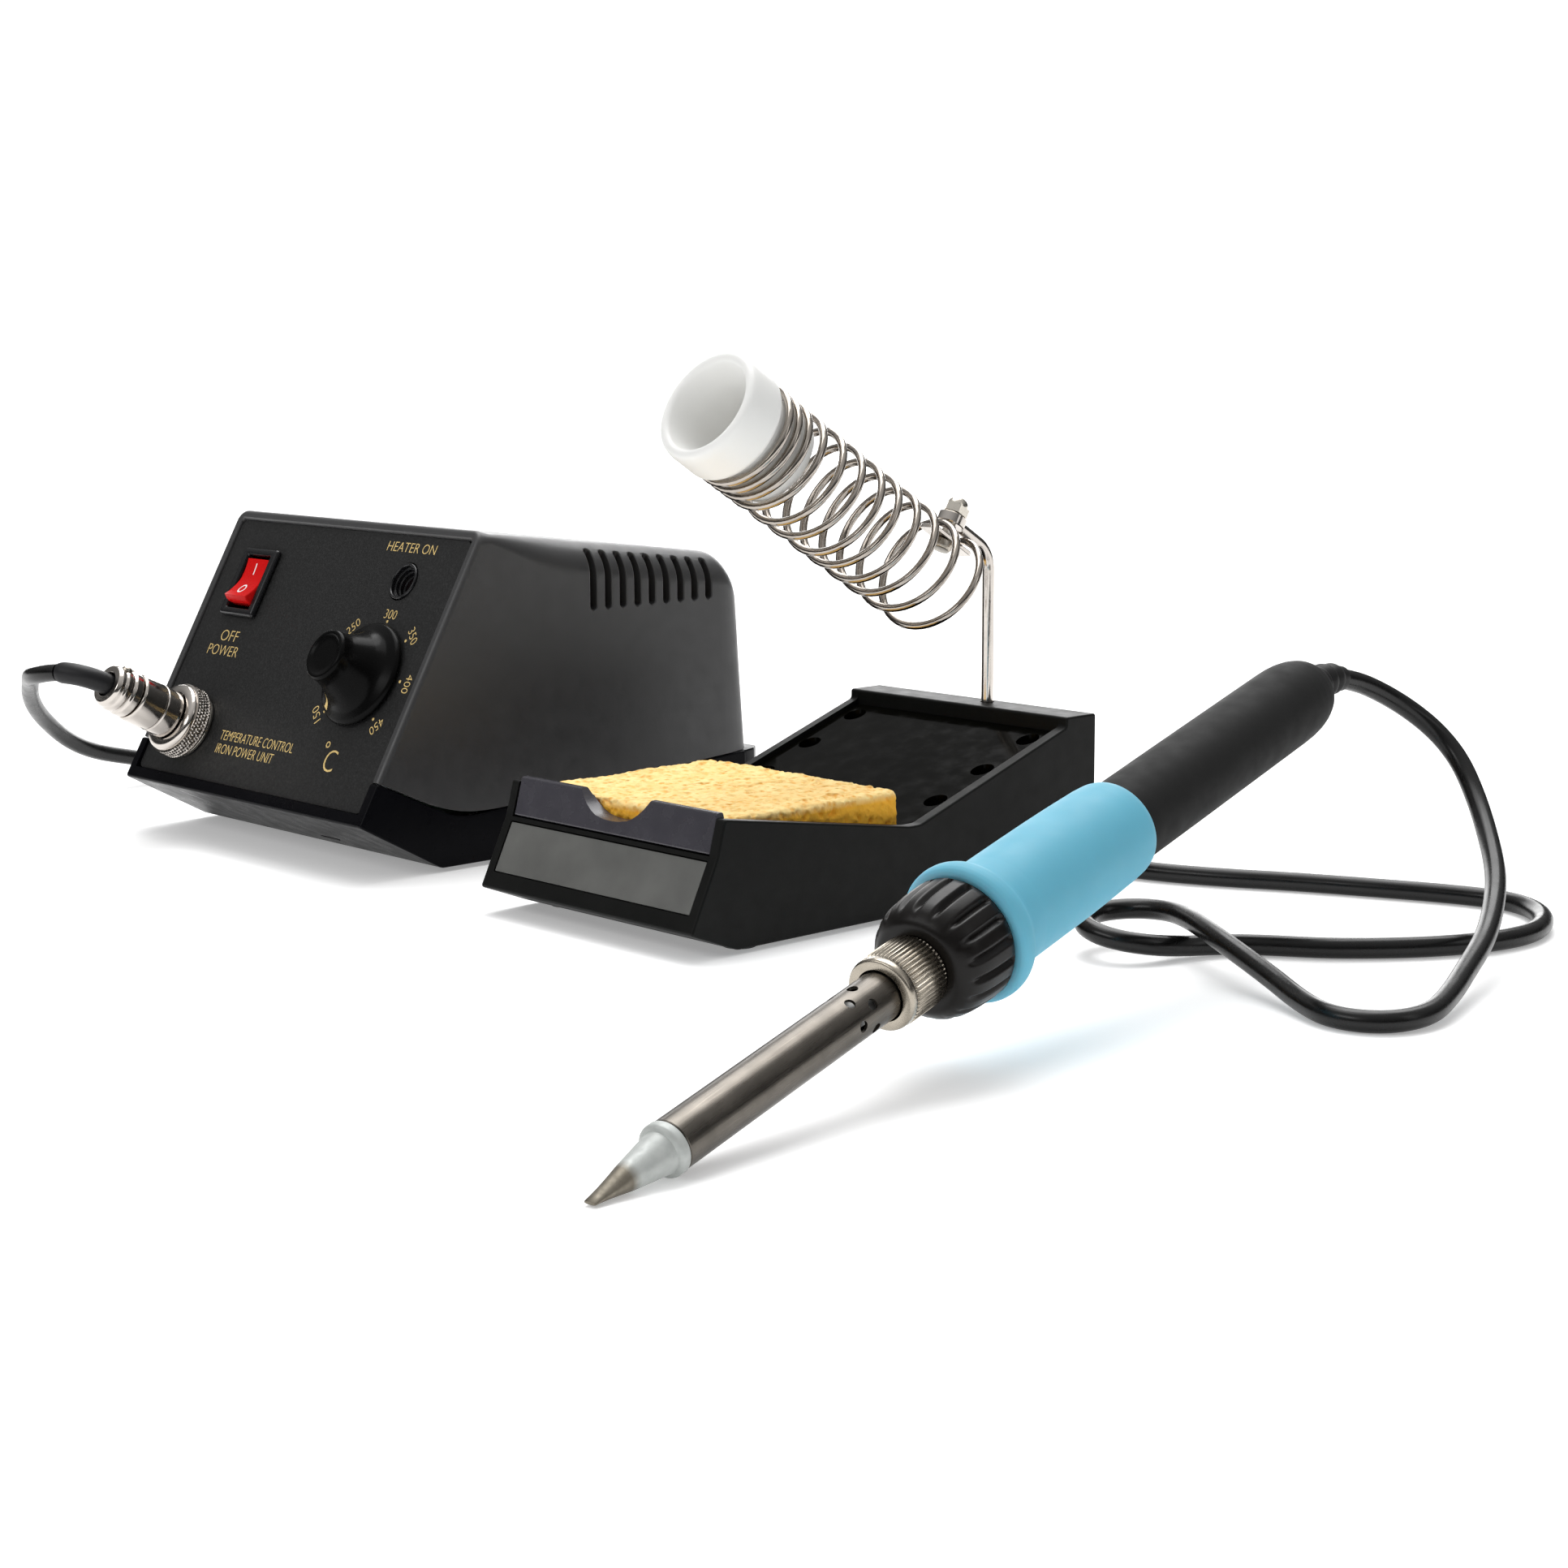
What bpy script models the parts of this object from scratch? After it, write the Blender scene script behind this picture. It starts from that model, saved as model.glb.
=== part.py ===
"""Soldering iron station: power unit, iron stand and soldering iron on one lead.

Metres, +X to the right along both fronts, +Y to the rear, +Z up, bench at z = 0.
Positions are laid out from the power unit's front left corner and moved by LAYOUT_ORIGIN.
"""
import math

import bmesh
import bpy
from mathutils import Matrix, Vector

MM = 0.001
GAP = 0.3

# The footprint's middle, in layout millimetres.
LAYOUT_ORIGIN = (187.23, 9.74, 0.0)

# Power unit
UNIT_W = 120.0
WALL = 3.2
PANEL_ANGLE = math.radians(60.8)
LIP_Z = 15.4
PANEL_LOW = 3.8
PANEL_HIGH = 84.4
BEZEL_PROUD = 0.8
UNIT_BOTTOM = 1.2
FOOT_SPOTS = ((12.0, 36.0), (108.0, 36.0), (12.0, 130.0), (108.0, 130.0))
FOOT_PROFILE = [(0, 0), (4.6, 0), (5.2, 0.8), (5.2, 2.3), (0, 2.3)]
VENT_FIRST = 80.6
VENT_PITCH = 5.4
VENT_COUNT = 9
VENT_W = 2.4

# Panel fittings: (across, up the panel) in millimetres
SWITCH_AT = (21.8, 64.6)
LAMP_AT = (93.5, 70.7)
KNOB_AT = (93.6, 42.0)
SOCKET_AT = (21.8, 18.6)
ROCKER_TILT = math.radians(12.0)
POINTER_ANGLE = math.radians(-122.0)

# Stand
STAND_X = 168.5
STAND_Y = 2.1
STAND_W = 81.0
STAND_FEET = ((7.5, 22.0), (73.5, 22.0), (7.5, 135.0), (73.5, 135.0))
RAMP_HOLE_R = 3.1
RAMP_HOLES_X = (8.1, 72.9)
RAMP_HOLES_Y = (90.6, 108.1, 125.6)
POST_X = 45.6
POST_Y = 139.4
POST_R = 1.65

# Spring holder
SPRING_ELEV = math.radians(31.3)
SPRING_FROM = (214.1, 141.5, 66.2)
SPRING_R = 14.05
SPRING_WIRE_R = 1.05
SPRING_LOWS = (27.3, 37.7, 46.5, 53.8, 62.1, 68.8, 77.7, 85.0, 93.3, 98.0, 101.7, 105.2)
SPRING_REAR_TOP = 22.0
BOLT_S = 27.6

# Iron
TIP_AT = (372.3, -129.3, 0.75)
IRON_YAW = -0.158
IRON_PITCH = 0.228

VENT_ROWS = ((74.5, 0.0), (79.0, 30.0))

# Lead: its centre line in layout millimetres, from the plug round to the handle
CORD_R = 2.5
SLEEVE_R = 3.1
SLEEVE_STEPS = 14
CORD_ROUTE = [
    (21.8, -12.7, 43.8), (21.8, -15.3, 45.27), (21.8, -18.2, 46.87), (21.6, -20.3, 47.95), (20, -23, 49.1),
    (16.6, -25.7, 50), (12.6, -27.7, 50.2), (8.09, -28.99, 49.67), (3.23, -29.32, 48.62), (-1.61, -28.42, 47.81),
    (-6.21, -26.64, 47.06), (-10.55, -24.39, 46.02), (-14.76, -22.09, 44.61), (-18.96, -19.98, 42.91),
    (-23.11, -17.95, 40.99), (-27.13, -15.8, 38.95), (-34.74, -10.86, 34.74), (-41.93, -5.25, 30.64),
    (-48.59, 0.93, 26.49), (-54.13, 7.79, 21.8), (-58.32, 15.52, 17.05), (-61.3, 24.28, 13.32),
    (-63.28, 33.72, 10.71), (-64.3, 41, 9), (-65, 59, 4.8), (-63.5, 78, 3), (-61, 98, 2.6), (-57, 118, 2.6),
    (-51, 136, 2.6), (-41, 152, 2.6), (-26, 163, 2.6), (-6, 168.5, 2.6), (22, 169.5, 2.6), (60, 167, 2.6),
    (100, 163, 2.6), (140, 160, 2.6), (180, 157, 2.6), (215, 154, 2.6), (245, 153, 2.6), (262, 155.5, 2.6),
    (279, 162, 2.6), (296, 171, 2.6), (316, 180, 2.6), (335, 187.5, 2.6), (349, 190, 2.6), (360.5, 184.5, 2.6),
    (369, 174, 2.6), (373, 162, 2.6), (372, 149.6, 2.6), (366, 135, 2.6), (358, 123.5, 2.6), (347.5, 113, 2.6),
    (338, 107, 2.6), (330, 100, 2.7), (325.5, 91, 3), (323, 80.5, 4.4), (316, 73.6, 6), (306.5, 75.2, 7.4),
    (301.8, 84, 8.2), (305.8, 92.6, 8.8), (316, 94.8, 9.4), (327, 89.9, 9.6), (338.5, 83.6, 8.9), (351.5, 77.8, 7),
    (364.5, 72.2, 4.8), (377, 65.8, 3.1), (389, 61.2, 2.6), (399, 65.6, 2.6), (402, 76, 3), (399, 88, 4.2),
    (393, 104, 6.6), (386.5, 121, 10), (379, 136, 14.3), (371.5, 148, 19), (361, 160, 26), (352.5, 167.5, 33),
    (345, 171, 41), (338.8, 169.8, 47.5), (334.2, 164.5, 53), (331.5, 157, 57.4), (330.2, 149.5, 60.5),
    (329.9, 145.6, 61.4), (329.8, 142.6, 62),
]
RELIEF_ROUTE = [(330.5, 133.4, 62.3), (330.0, 137.4, 62.7), (329.8, 142.1, 62.1)]

DARK_PLASTIC = ("dark_plastic", (0.052, 0.053, 0.055), 0.42, 0.0)
BLACK_GLOSS = ("black_gloss", (0.012, 0.012, 0.014), 0.16, 0.0)
BLACK_SATIN = ("black_satin", (0.016, 0.016, 0.017), 0.45, 0.0)
PANEL_BLACK = ("panel_black", (0.014, 0.015, 0.016), 0.6, 0.0)
RED_PLASTIC = ("red_plastic", (0.62, 0.012, 0.01), 0.28, 0.0)
LAMP_RED = ("lamp_red", (0.35, 0.01, 0.01), 0.12, 0.0)
NICKEL = ("nickel", (0.62, 0.60, 0.56), 0.18, 1.0)
CHROME = ("chrome", (0.72, 0.71, 0.70), 0.08, 1.0)
STEEL = ("steel", (0.48, 0.45, 0.41), 0.3, 1.0)
TIP_PLATING = ("tip_plating", (0.50, 0.51, 0.50), 0.45, 0.6)
RUBBER = ("rubber", (0.02, 0.02, 0.02), 0.7, 0.0)
CORD_RUBBER = ("cord_rubber", (0.016, 0.016, 0.017), 0.38, 0.0)
BLUE_GRIP = ("blue_grip", (0.19, 0.55, 0.74), 0.5, 0.0)
WHITE_CERAMIC = ("white_ceramic", (0.84, 0.84, 0.82), 0.35, 0.0)
SPONGE = ("sponge", (0.90, 0.62, 0.24), 0.95, 0.0)
PLATE_GREY = ("plate_grey", (0.11, 0.112, 0.105), 0.42, 0.3)
COPPER = ("copper", (0.70, 0.30, 0.15), 0.35, 1.0)
BOARD_GREEN = ("board_green", (0.03, 0.16, 0.06), 0.5, 0.0)


def clear_scene():
    for obj in list(bpy.data.objects):
        bpy.data.objects.remove(obj, do_unlink=True)


def material(spec):
    name, colour, roughness, metallic = spec
    mat = bpy.data.materials.get(name)
    if mat is None:
        mat = bpy.data.materials.new(name)
        mat.use_nodes = True
        shader = mat.node_tree.nodes["Principled BSDF"]
        shader.inputs["Base Color"].default_value = (*colour, 1.0)
        shader.inputs["Roughness"].default_value = roughness
        shader.inputs["Metallic"].default_value = metallic
    return mat


def frame(x_axis, y_axis, z_axis, at):
    """A placing matrix in metres, from a layout position in millimetres."""
    here = [(a - o) * MM for a, o in zip(at, LAYOUT_ORIGIN)]
    rows = [(x_axis[i], y_axis[i], z_axis[i], here[i]) for i in range(3)]
    return Matrix([*rows, (0.0, 0.0, 0.0, 1.0)])


def level(x, y, z):
    return frame((1, 0, 0), (0, 1, 0), (0, 0, 1), (x, y, z))


def facing_right(x, y, z):
    """Local X runs to the rear, local Y up, local Z to the right."""
    return frame((0, 1, 0), (0, 0, 1), (1, 0, 0), (x, y, z))


def facing_front(x, y, z):
    """Local X to the right, local Y up, local Z to the front."""
    return frame((1, 0, 0), (0, 0, 1), (0, -1, 0), (x, y, z))


def facing_rear(x, y, z):
    """Local Z runs to the rear."""
    return frame((-1, 0, 0), (0, 0, 1), (0, 1, 0), (x, y, z))


def panel(across, up, out=0.0):
    """Local X across the panel, local Y up it, local Z out of it."""
    c = math.cos(PANEL_ANGLE)
    s = math.sin(PANEL_ANGLE)
    at = (across, up * c - out * s, LIP_Z + up * s + out * c)
    return frame((1, 0, 0), (0, c, s), (0, -s, c), at)


def panel_yz(up, out):
    c = math.cos(PANEL_ANGLE)
    s = math.sin(PANEL_ANGLE)
    return (up * c - out * s, LIP_Z + up * s + out * c)


def spring_frame(s=0.0, rise=0.0):
    """Local Z along the spring towards its mouth, local Y away from its axis upwards."""
    c = math.cos(SPRING_ELEV)
    n = math.sin(SPRING_ELEV)
    x, y, z = SPRING_FROM
    at = (x, y - c * s + n * rise, z + n * s + c * rise)
    return frame((-1, 0, 0), (0, n, c), (0, -c, n), at)


def clamp_frame():
    """Local Z along the clamp bolt, away from the spring's axis, local Y along the spring."""
    c = math.cos(SPRING_ELEV)
    n = math.sin(SPRING_ELEV)
    x, y, z = SPRING_FROM
    return frame((-1, 0, 0), (0, -c, n), (0, n, c), (x, y - c * BOLT_S, z + n * BOLT_S))


def iron_axis():
    cp = math.cos(IRON_PITCH)
    return Vector((math.sin(IRON_YAW) * cp, math.cos(IRON_YAW) * cp, math.sin(IRON_PITCH)))


def iron(s=0.0):
    """Local Z along the iron from its tip to its lead, local X level."""
    z_axis = iron_axis()
    x_axis = Vector((math.cos(IRON_YAW), -math.sin(IRON_YAW), 0.0))
    y_axis = z_axis.cross(x_axis)
    return frame(x_axis, y_axis, z_axis, Vector(TIP_AT) + z_axis * s)


def new_object(name, verts, faces, place, spec, smooth=True):
    mesh = bpy.data.meshes.new(name)
    mesh.from_pydata([[c * MM for c in v] for v in verts], [], faces)
    work = bmesh.new()
    work.from_mesh(mesh)
    bmesh.ops.remove_doubles(work, verts=work.verts, dist=0.000001)
    bmesh.ops.recalc_face_normals(work, faces=work.faces)
    work.to_mesh(mesh)
    work.free()
    obj = bpy.data.objects.new(name, mesh)
    bpy.context.scene.collection.objects.link(obj)
    obj.matrix_world = place
    mesh.materials.append(material(spec))
    if smooth:
        for polygon in mesh.polygons:
            polygon.use_smooth = True
        mesh.set_sharp_from_angle(angle=math.radians(35.0))
    return obj


def loft(name, loops, place, spec, smooth=True):
    """A solid through loops of equal length, capped at both ends."""
    count = len(loops[0])
    verts = [v for loop in loops for v in loop]
    faces = []
    for k in range(len(loops) - 1):
        for i in range(count):
            j = (i + 1) % count
            faces.append((k * count + i, k * count + j, (k + 1) * count + j, (k + 1) * count + i))
    faces.append(tuple(reversed(range(count))))
    last = (len(loops) - 1) * count
    faces.append(tuple(range(last, last + count)))
    return new_object(name, verts, faces, place, spec, smooth)


def prism(name, outline, low, high, place, spec, smooth=False):
    loops = [[(x, y, z) for x, y in outline] for z in (low, high)]
    return loft(name, loops, place, spec, smooth)


def rounded(w, h, r, steps=3, cx=0.0, cy=0.0):
    points = []
    for quarter, (sx, sy) in enumerate(((1, 1), (-1, 1), (-1, -1), (1, -1))):
        for k in range(steps + 1):
            a = math.radians(90.0) * (quarter + k / steps)
            px = cx + sx * (w / 2 - r) + r * math.cos(a)
            py = cy + sy * (h / 2 - r) + r * math.sin(a)
            points.append((px, py))
    return points


def lift(outline, z):
    return [(x, y, z) for x, y in outline]


def circle(r, count, cx=0.0, cy=0.0, turn=0.0):
    step = 2 * math.pi / count
    return [(cx + r * math.cos(turn + step * i), cy + r * math.sin(turn + step * i)) for i in range(count)]


def lathe(name, profile, count, place, spec):
    """A turned solid from (radius, height) points; the first and last lie on the axis."""
    inner = profile[1:-1]
    loops = [lift(circle(r, count), z) for r, z in inner]
    verts = [v for loop in loops for v in loop]
    faces = []
    for k in range(len(loops) - 1):
        for i in range(count):
            j = (i + 1) % count
            faces.append((k * count + i, k * count + j, (k + 1) * count + j, (k + 1) * count + i))
    for pole, first in ((profile[0], 0), (profile[-1], (len(loops) - 1) * count)):
        verts.append((0.0, 0.0, pole[1]))
        tip = len(verts) - 1
        for i in range(count):
            faces.append((first + i, first + (i + 1) % count, tip))
    return new_object(name, verts, faces, place, spec)


def ring(name, profile, count, place, spec):
    """A turned solid with a hole, from a closed run of (radius, height) points."""
    verts = []
    faces = []
    size = len(profile)
    for i in range(count):
        a = 2 * math.pi * i / count
        for r, z in profile:
            verts.append((r * math.cos(a), r * math.sin(a), z))
    for i in range(count):
        j = (i + 1) % count
        for k in range(size):
            m = (k + 1) % size
            faces.append((i * size + k, j * size + k, j * size + m, i * size + m))
    return new_object(name, verts, faces, place, spec)


def hex_nut(name, bore, flats, low, high, place, spec):
    """A six-sided nut with a round hole."""
    count = 18
    verts = []
    for i in range(count):
        a = 2 * math.pi * i / count
        off = (a + math.pi / 6) % (math.pi / 3) - math.pi / 6
        outer = flats / 2 / math.cos(off)
        for r, z in ((bore, low), (outer, low), (outer, high), (bore, high)):
            verts.append((r * math.cos(a), r * math.sin(a), z))
    faces = []
    for i in range(count):
        j = (i + 1) % count
        for k in range(4):
            m = (k + 1) % 4
            faces.append((i * 4 + k, j * 4 + k, j * 4 + m, i * 4 + m))
    return new_object(name, verts, faces, place, spec, smooth=False)


def sweep(name, path, radii, count, place, spec):
    """A round bar along layout points, with its own radius at each."""
    points = [Vector(p) for p in path]
    side = Vector((1.0, 0.0, 0.0))
    loops = []
    for i, here in enumerate(points):
        ahead = (points[min(i + 1, len(points) - 1)] - points[max(i - 1, 0)]).normalized()
        side = (side - ahead * side.dot(ahead)).normalized()
        other = ahead.cross(side)
        loop = []
        for k in range(count):
            a = 2 * math.pi * k / count
            loop.append(tuple(here + side * (radii[i] * math.cos(a)) + other * (radii[i] * math.sin(a))))
        loops.append(loop)
    return loft(name, loops, place, spec)


def smooth_path(points):
    """A fine curve through hand-set points: centripetal Catmull-Rom, eased, evenly stepped."""
    pts = [Vector(p) for p in points]
    pts = [pts[0] * 2 - pts[1], *pts, pts[-1] * 2 - pts[-2]]
    fine = []
    for i in range(1, len(pts) - 2):
        a, b, c, d = pts[i - 1 : i + 3]
        t1 = math.sqrt((b - a).length)
        t2 = t1 + math.sqrt((c - b).length)
        t3 = t2 + math.sqrt((d - c).length)
        for k in range(12):
            t = t1 + (t2 - t1) * k / 12
            low = a * ((t1 - t) / t1) + b * (t / t1)
            mid = b * ((t2 - t) / (t2 - t1)) + c * ((t - t1) / (t2 - t1))
            top = c * ((t3 - t) / (t3 - t2)) + d * ((t - t2) / (t3 - t2))
            left = low * ((t2 - t) / t2) + mid * (t / t2)
            right = mid * ((t3 - t) / (t3 - t1)) + top * ((t - t1) / (t3 - t1))
            fine.append(left * ((t2 - t) / (t2 - t1)) + right * ((t - t1) / (t2 - t1)))
    fine.append(pts[-2])
    even = walk(fine, 1.5)
    for _ in range(10):
        inner = [(even[i - 1] + even[i] * 2 + even[i + 1]) / 4 for i in range(1, len(even) - 1)]
        even = [even[0], *inner, even[-1]]
    return even


def walk(points, step):
    """Points every so many millimetres along a run of points, with both ends kept."""
    out = [points[0]]
    left = step
    for a, b in zip(points, points[1:]):
        length = (b - a).length
        done = 0.0
        while length - done >= left:
            done += left
            out.append(a.lerp(b, done / length))
            left = step
        left -= length - done
    if (out[-1] - points[-1]).length > step * 0.3:
        out.append(points[-1])
    else:
        out[-1] = points[-1]
    return out


def thin(points, most, turn):
    """Fewer points: one each time the run has gone on or turned far enough."""
    out = [points[0], points[1]]
    last = (points[1] - points[0]).normalized()
    for i in range(2, len(points) - 3):
        ahead = (points[i + 1] - points[i]).normalized()
        gone = (points[i] - out[-1]).length
        if gone > most or (gone > 4.0 and ahead.angle(last) > turn):
            out.append(points[i])
            last = ahead
    return [*out, points[-2], points[-1]]


def cutter(name, parts):
    """One hidden cutting mesh from several closed solids."""
    verts = []
    faces = []
    for obj in parts:
        base = len(verts)
        for v in obj.data.vertices:
            verts.append([c / MM for c in obj.matrix_world @ v.co])
        for polygon in obj.data.polygons:
            faces.append([base + i for i in polygon.vertices])
        bpy.data.objects.remove(obj, do_unlink=True)
    tool = new_object(name, verts, faces, Matrix.Identity(4), BLACK_SATIN, smooth=False)
    tool.hide_render = True
    tool.display_type = "WIRE"
    return tool


def cut(obj, tool):
    change = obj.modifiers.new(tool.name, "BOOLEAN")
    change.operation = "DIFFERENCE"
    change.solver = "EXACT"
    change.object = tool


def shell_loop(low, high, side, r):
    """One arch-shaped section of the cover between a low point and a high point on its middle line."""
    points = []
    run = (high[0] - low[0], high[1] - low[1])
    length = math.hypot(*run)
    arch = [(UNIT_W - side, 0.0)]
    for k in range(6):
        a = math.radians(18.0 * k)
        arch.append((UNIT_W - side - r + r * math.cos(a), length - r + r * math.sin(a)))
    for k in range(6):
        a = math.radians(90.0 + 18.0 * k)
        arch.append((side + r + r * math.cos(a), length - r + r * math.sin(a)))
    arch.append((side, 0.0))
    for x, v in arch:
        f = v / length
        points.append((x, low[0] + run[0] * f, low[1] + run[1] * f))
    return points


def build_cover():
    sections = [
        (panel_yz(13.0, BEZEL_PROUD), panel_yz(87.8, BEZEL_PROUD), 0.0, 1.6),
        ((13.0, 23.8), (47.0, 91.0), 0.0, 2.0),
        ((20.5, 20.0), (53.5, 90.2), 0.0, 4.4),
        ((28.5, 16.5), (60.0, 89.4), 0.0, 7.4),
        ((36.0, 14.8), (68.0, 88.4), 0.0, 9.4),
        ((60.0, 16.4), (86.0, 86.2), 0.0, 10.0),
        ((112.0, 20.0), (116.0, 82.6), 0.0, 10.0),
        ((133.0, 21.4), (128.5, 81.0), 0.0, 10.0),
        ((137.6, 21.7), (132.6, 79.4), 1.0, 10.0),
        ((139.8, 21.8), (136.0, 75.6), 3.0, 9.0),
        ((140.6, 21.9), (138.4, 70.0), 6.0, 6.0),
    ]
    place = level(0, 0, 0)
    loops = [shell_loop(low, high, side, r) for low, high, side, r in sections]
    cover = loft("station_cover", loops, place, DARK_PLASTIC)
    hollow = [
        (panel_yz(-3.0, 4.0), panel_yz(87.8 - WALL, 4.0), WALL, 0.9),
        (panel_yz(-3.0, -3.0), panel_yz(87.8 - WALL, -3.0), WALL, 0.9),
        ((34.0, 5.0), (68.0, 84.9), WALL, 6.4),
        ((60.0, 5.0), (86.0, 82.8), WALL, 7.0),
        ((112.0, 5.0), (116.0, 79.2), WALL, 7.0),
        ((132.0, 5.0), (127.0, 77.8), WALL, 7.0),
        ((137.2, 5.0), (134.6, 69.5), 6.4, 4.0),
    ]
    inside = loft("hollow", [shell_loop(a, b, s, r) for a, b, s, r in hollow], place, BLACK_SATIN)
    cut(cover, cutter("cover_hollow", [inside]))
    tools = []
    for k in range(VENT_COUNT):
        y = VENT_FIRST + VENT_PITCH * k
        near = y - VENT_W / 2
        far = y + VENT_W / 2
        for low, high in ((-2.0, 10.6), (UNIT_W - 10.6, UNIT_W + 2.0)):
            box = [(low, near), (high, near), (high, far), (low, far)]
            tools.append(prism("slot", box, 68.4, 96.0, place, BLACK_SATIN))
    for x, r in ((30.0, 5.4), (60.0, 6.9)):
        tools.append(prism("hole", circle(r, 24), -12.0, 6.0, facing_rear(x, 139.0, 38.0), BLACK_SATIN))
    cut(cover, cutter("cover_openings", tools))


def base_outline(back, ledge):
    def top(y):
        return 14.5 + (y - 36.0) * 0.0679

    front = panel_yz(13.0 - GAP, BEZEL_PROUD)
    return [panel_yz(0.0, BEZEL_PROUD), (26.0, UNIT_BOTTOM), (back - 3.5, UNIT_BOTTOM), (back, 5.0),
            (back, top(ledge)), (ledge, top(ledge)), (36.0, 14.5), (30.3, 15.2), (22.0, 18.8), (14.2, 22.6), front]


def build_base():
    loops = []
    for x, back, ledge in ((0.0, 138.0, 137.0), (1.5, 142.6, 139.6), (5.0, 146.5, 140.6),
                           (115.0, 146.5, 140.6), (118.5, 142.6, 139.6), (120.0, 138.0, 137.0)):
        loops.append([(y, z, x) for y, z in base_outline(back, ledge)])
    base = loft("station_base", loops, facing_right(0, 0, 0), BLACK_GLOSS, smooth=False)
    room = [panel_yz(3.5, 4.0), panel_yz(3.5, -3.0), (28.5, 3.6), (137.0, 3.6), (137.0, 60.0), (20.0, 60.0)]
    tools = [prism("room", room, WALL, UNIT_W - WALL, facing_right(0, 0, 0), BLACK_SATIN)]
    for x, y in FOOT_SPOTS:
        tools.append(prism("pocket", circle(5.6, 12), -1.0, 2.6, level(x, y, 0), BLACK_SATIN))
    cut(base, cutter("base_openings", tools))
    for i, (x, y) in enumerate(FOOT_SPOTS):
        lathe(f"station_foot_{i + 1}", FOOT_PROFILE, 12, level(x, y, 0), RUBBER)


def build_panel():
    middle = (PANEL_LOW + PANEL_HIGH) / 2
    outline = rounded(UNIT_W - 2 * WALL - 2 * GAP, PANEL_HIGH - PANEL_LOW, 2.0)
    plate = prism("front_panel", outline, -2.0, 0.0, panel(UNIT_W / 2, middle), PANEL_BLACK)
    tools = [
        prism("a", rounded(13.6, 19.4, 0.4, 1), -5.0, 5.0, panel(*SWITCH_AT), BLACK_SATIN),
        prism("b", circle(5.8, 32), -5.0, 5.0, panel(*LAMP_AT), BLACK_SATIN),
        prism("c", circle(3.9, 24), -5.0, 5.0, panel(*KNOB_AT), BLACK_SATIN),
        prism("d", circle(8.25, 32), -5.0, 5.0, panel(*SOCKET_AT), BLACK_SATIN),
    ]
    cut(plate, cutter("panel_holes", tools))


def build_switch():
    steps = [(13.0, 18.8, -11.0), (13.0, 18.8, GAP), (17.2, 21.6, GAP), (17.2, 21.6, 1.2), (16.2, 20.6, 1.8),
             (12.4, 17.4, 1.8), (11.8, 16.8, 1.2), (11.8, 16.8, -9.0)]
    loops = [lift(rounded(w, h, 0.6, 2), z) for w, h, z in steps]
    loft("switch_housing", loops, panel(*SWITCH_AT), BLACK_SATIN, smooth=False)
    own = [(-6.6, 4.2), (-3.4, 3.1), (0.0, 2.7), (3.4, 3.1), (6.6, 4.2), (7.4, 2.0), (6.9, -1.0), (4.6, -4.6),
           (-4.6, -4.6), (-6.9, -1.0), (-7.4, 2.0)]
    c = math.cos(-ROCKER_TILT)
    s = math.sin(-ROCKER_TILT)
    outline = [(t * c - h * s, t * s + h * c) for t, h in own]
    loops = [[(x, t, h) for t, h in outline] for x in (-5.5, 5.5)]
    loft("power_rocker", loops, panel(*SWITCH_AT, -1.2), RED_PLASTIC, smooth=False)


def build_lamp():
    place = panel(*LAMP_AT)
    steps = [(5.5, -8.0), (5.5, 0.2), (5.2, 0.5), (4.8, 0.5), (4.6, -0.9), (4.2, -0.9), (4.1, -2.2), (3.7, -2.2),
             (3.6, -3.5), (3.2, -3.5), (3.0, -5.0), (2.8, -5.0), (2.8, -8.0)]
    ring("lamp_bezel", steps, 24, place, BLACK_SATIN)
    dome = [(0, -10.0), (2.5, -10.0), (2.5, -6.4), (2.3, -5.3), (1.7, -4.5), (0.9, -4.1), (0, -4.0)]
    lathe("heater_lamp", dome, 16, place, LAMP_RED)


def build_knob():
    place = panel(*KNOB_AT)
    knob = [(0, 14.8), (5.6, 14.8), (6.2, 15.1), (7.1, 15.0), (7.5, 14.4), (7.5, 12.6), (8.2, 10.0), (9.6, 7.0),
            (11.2, 4.4), (12.2, 3.4), (15.0, 2.2), (15.4, 1.2), (15.2, 0.6), (7.4, 0.6), (7.4, 3.6), (3.4, 3.6),
            (3.4, 13.2), (0, 13.2)]
    lathe("temperature_knob", knob, 30, place, BLACK_GLOSS)
    lathe("knob_shaft", [(0, 3.5), (3.0, 3.5), (3.0, 12.8), (0, 12.8)], 20, place, STEEL)
    pot = [(0, -13.0), (8.5, -13.0), (8.5, -2.4), (3.5, -2.4), (3.5, 3.2), (0, 3.2)]
    lathe("potentiometer", pot, 20, place, STEEL)
    hex_nut("potentiometer_nut", 3.9, 11.0, 0.3, 2.4, place, NICKEL)


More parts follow.
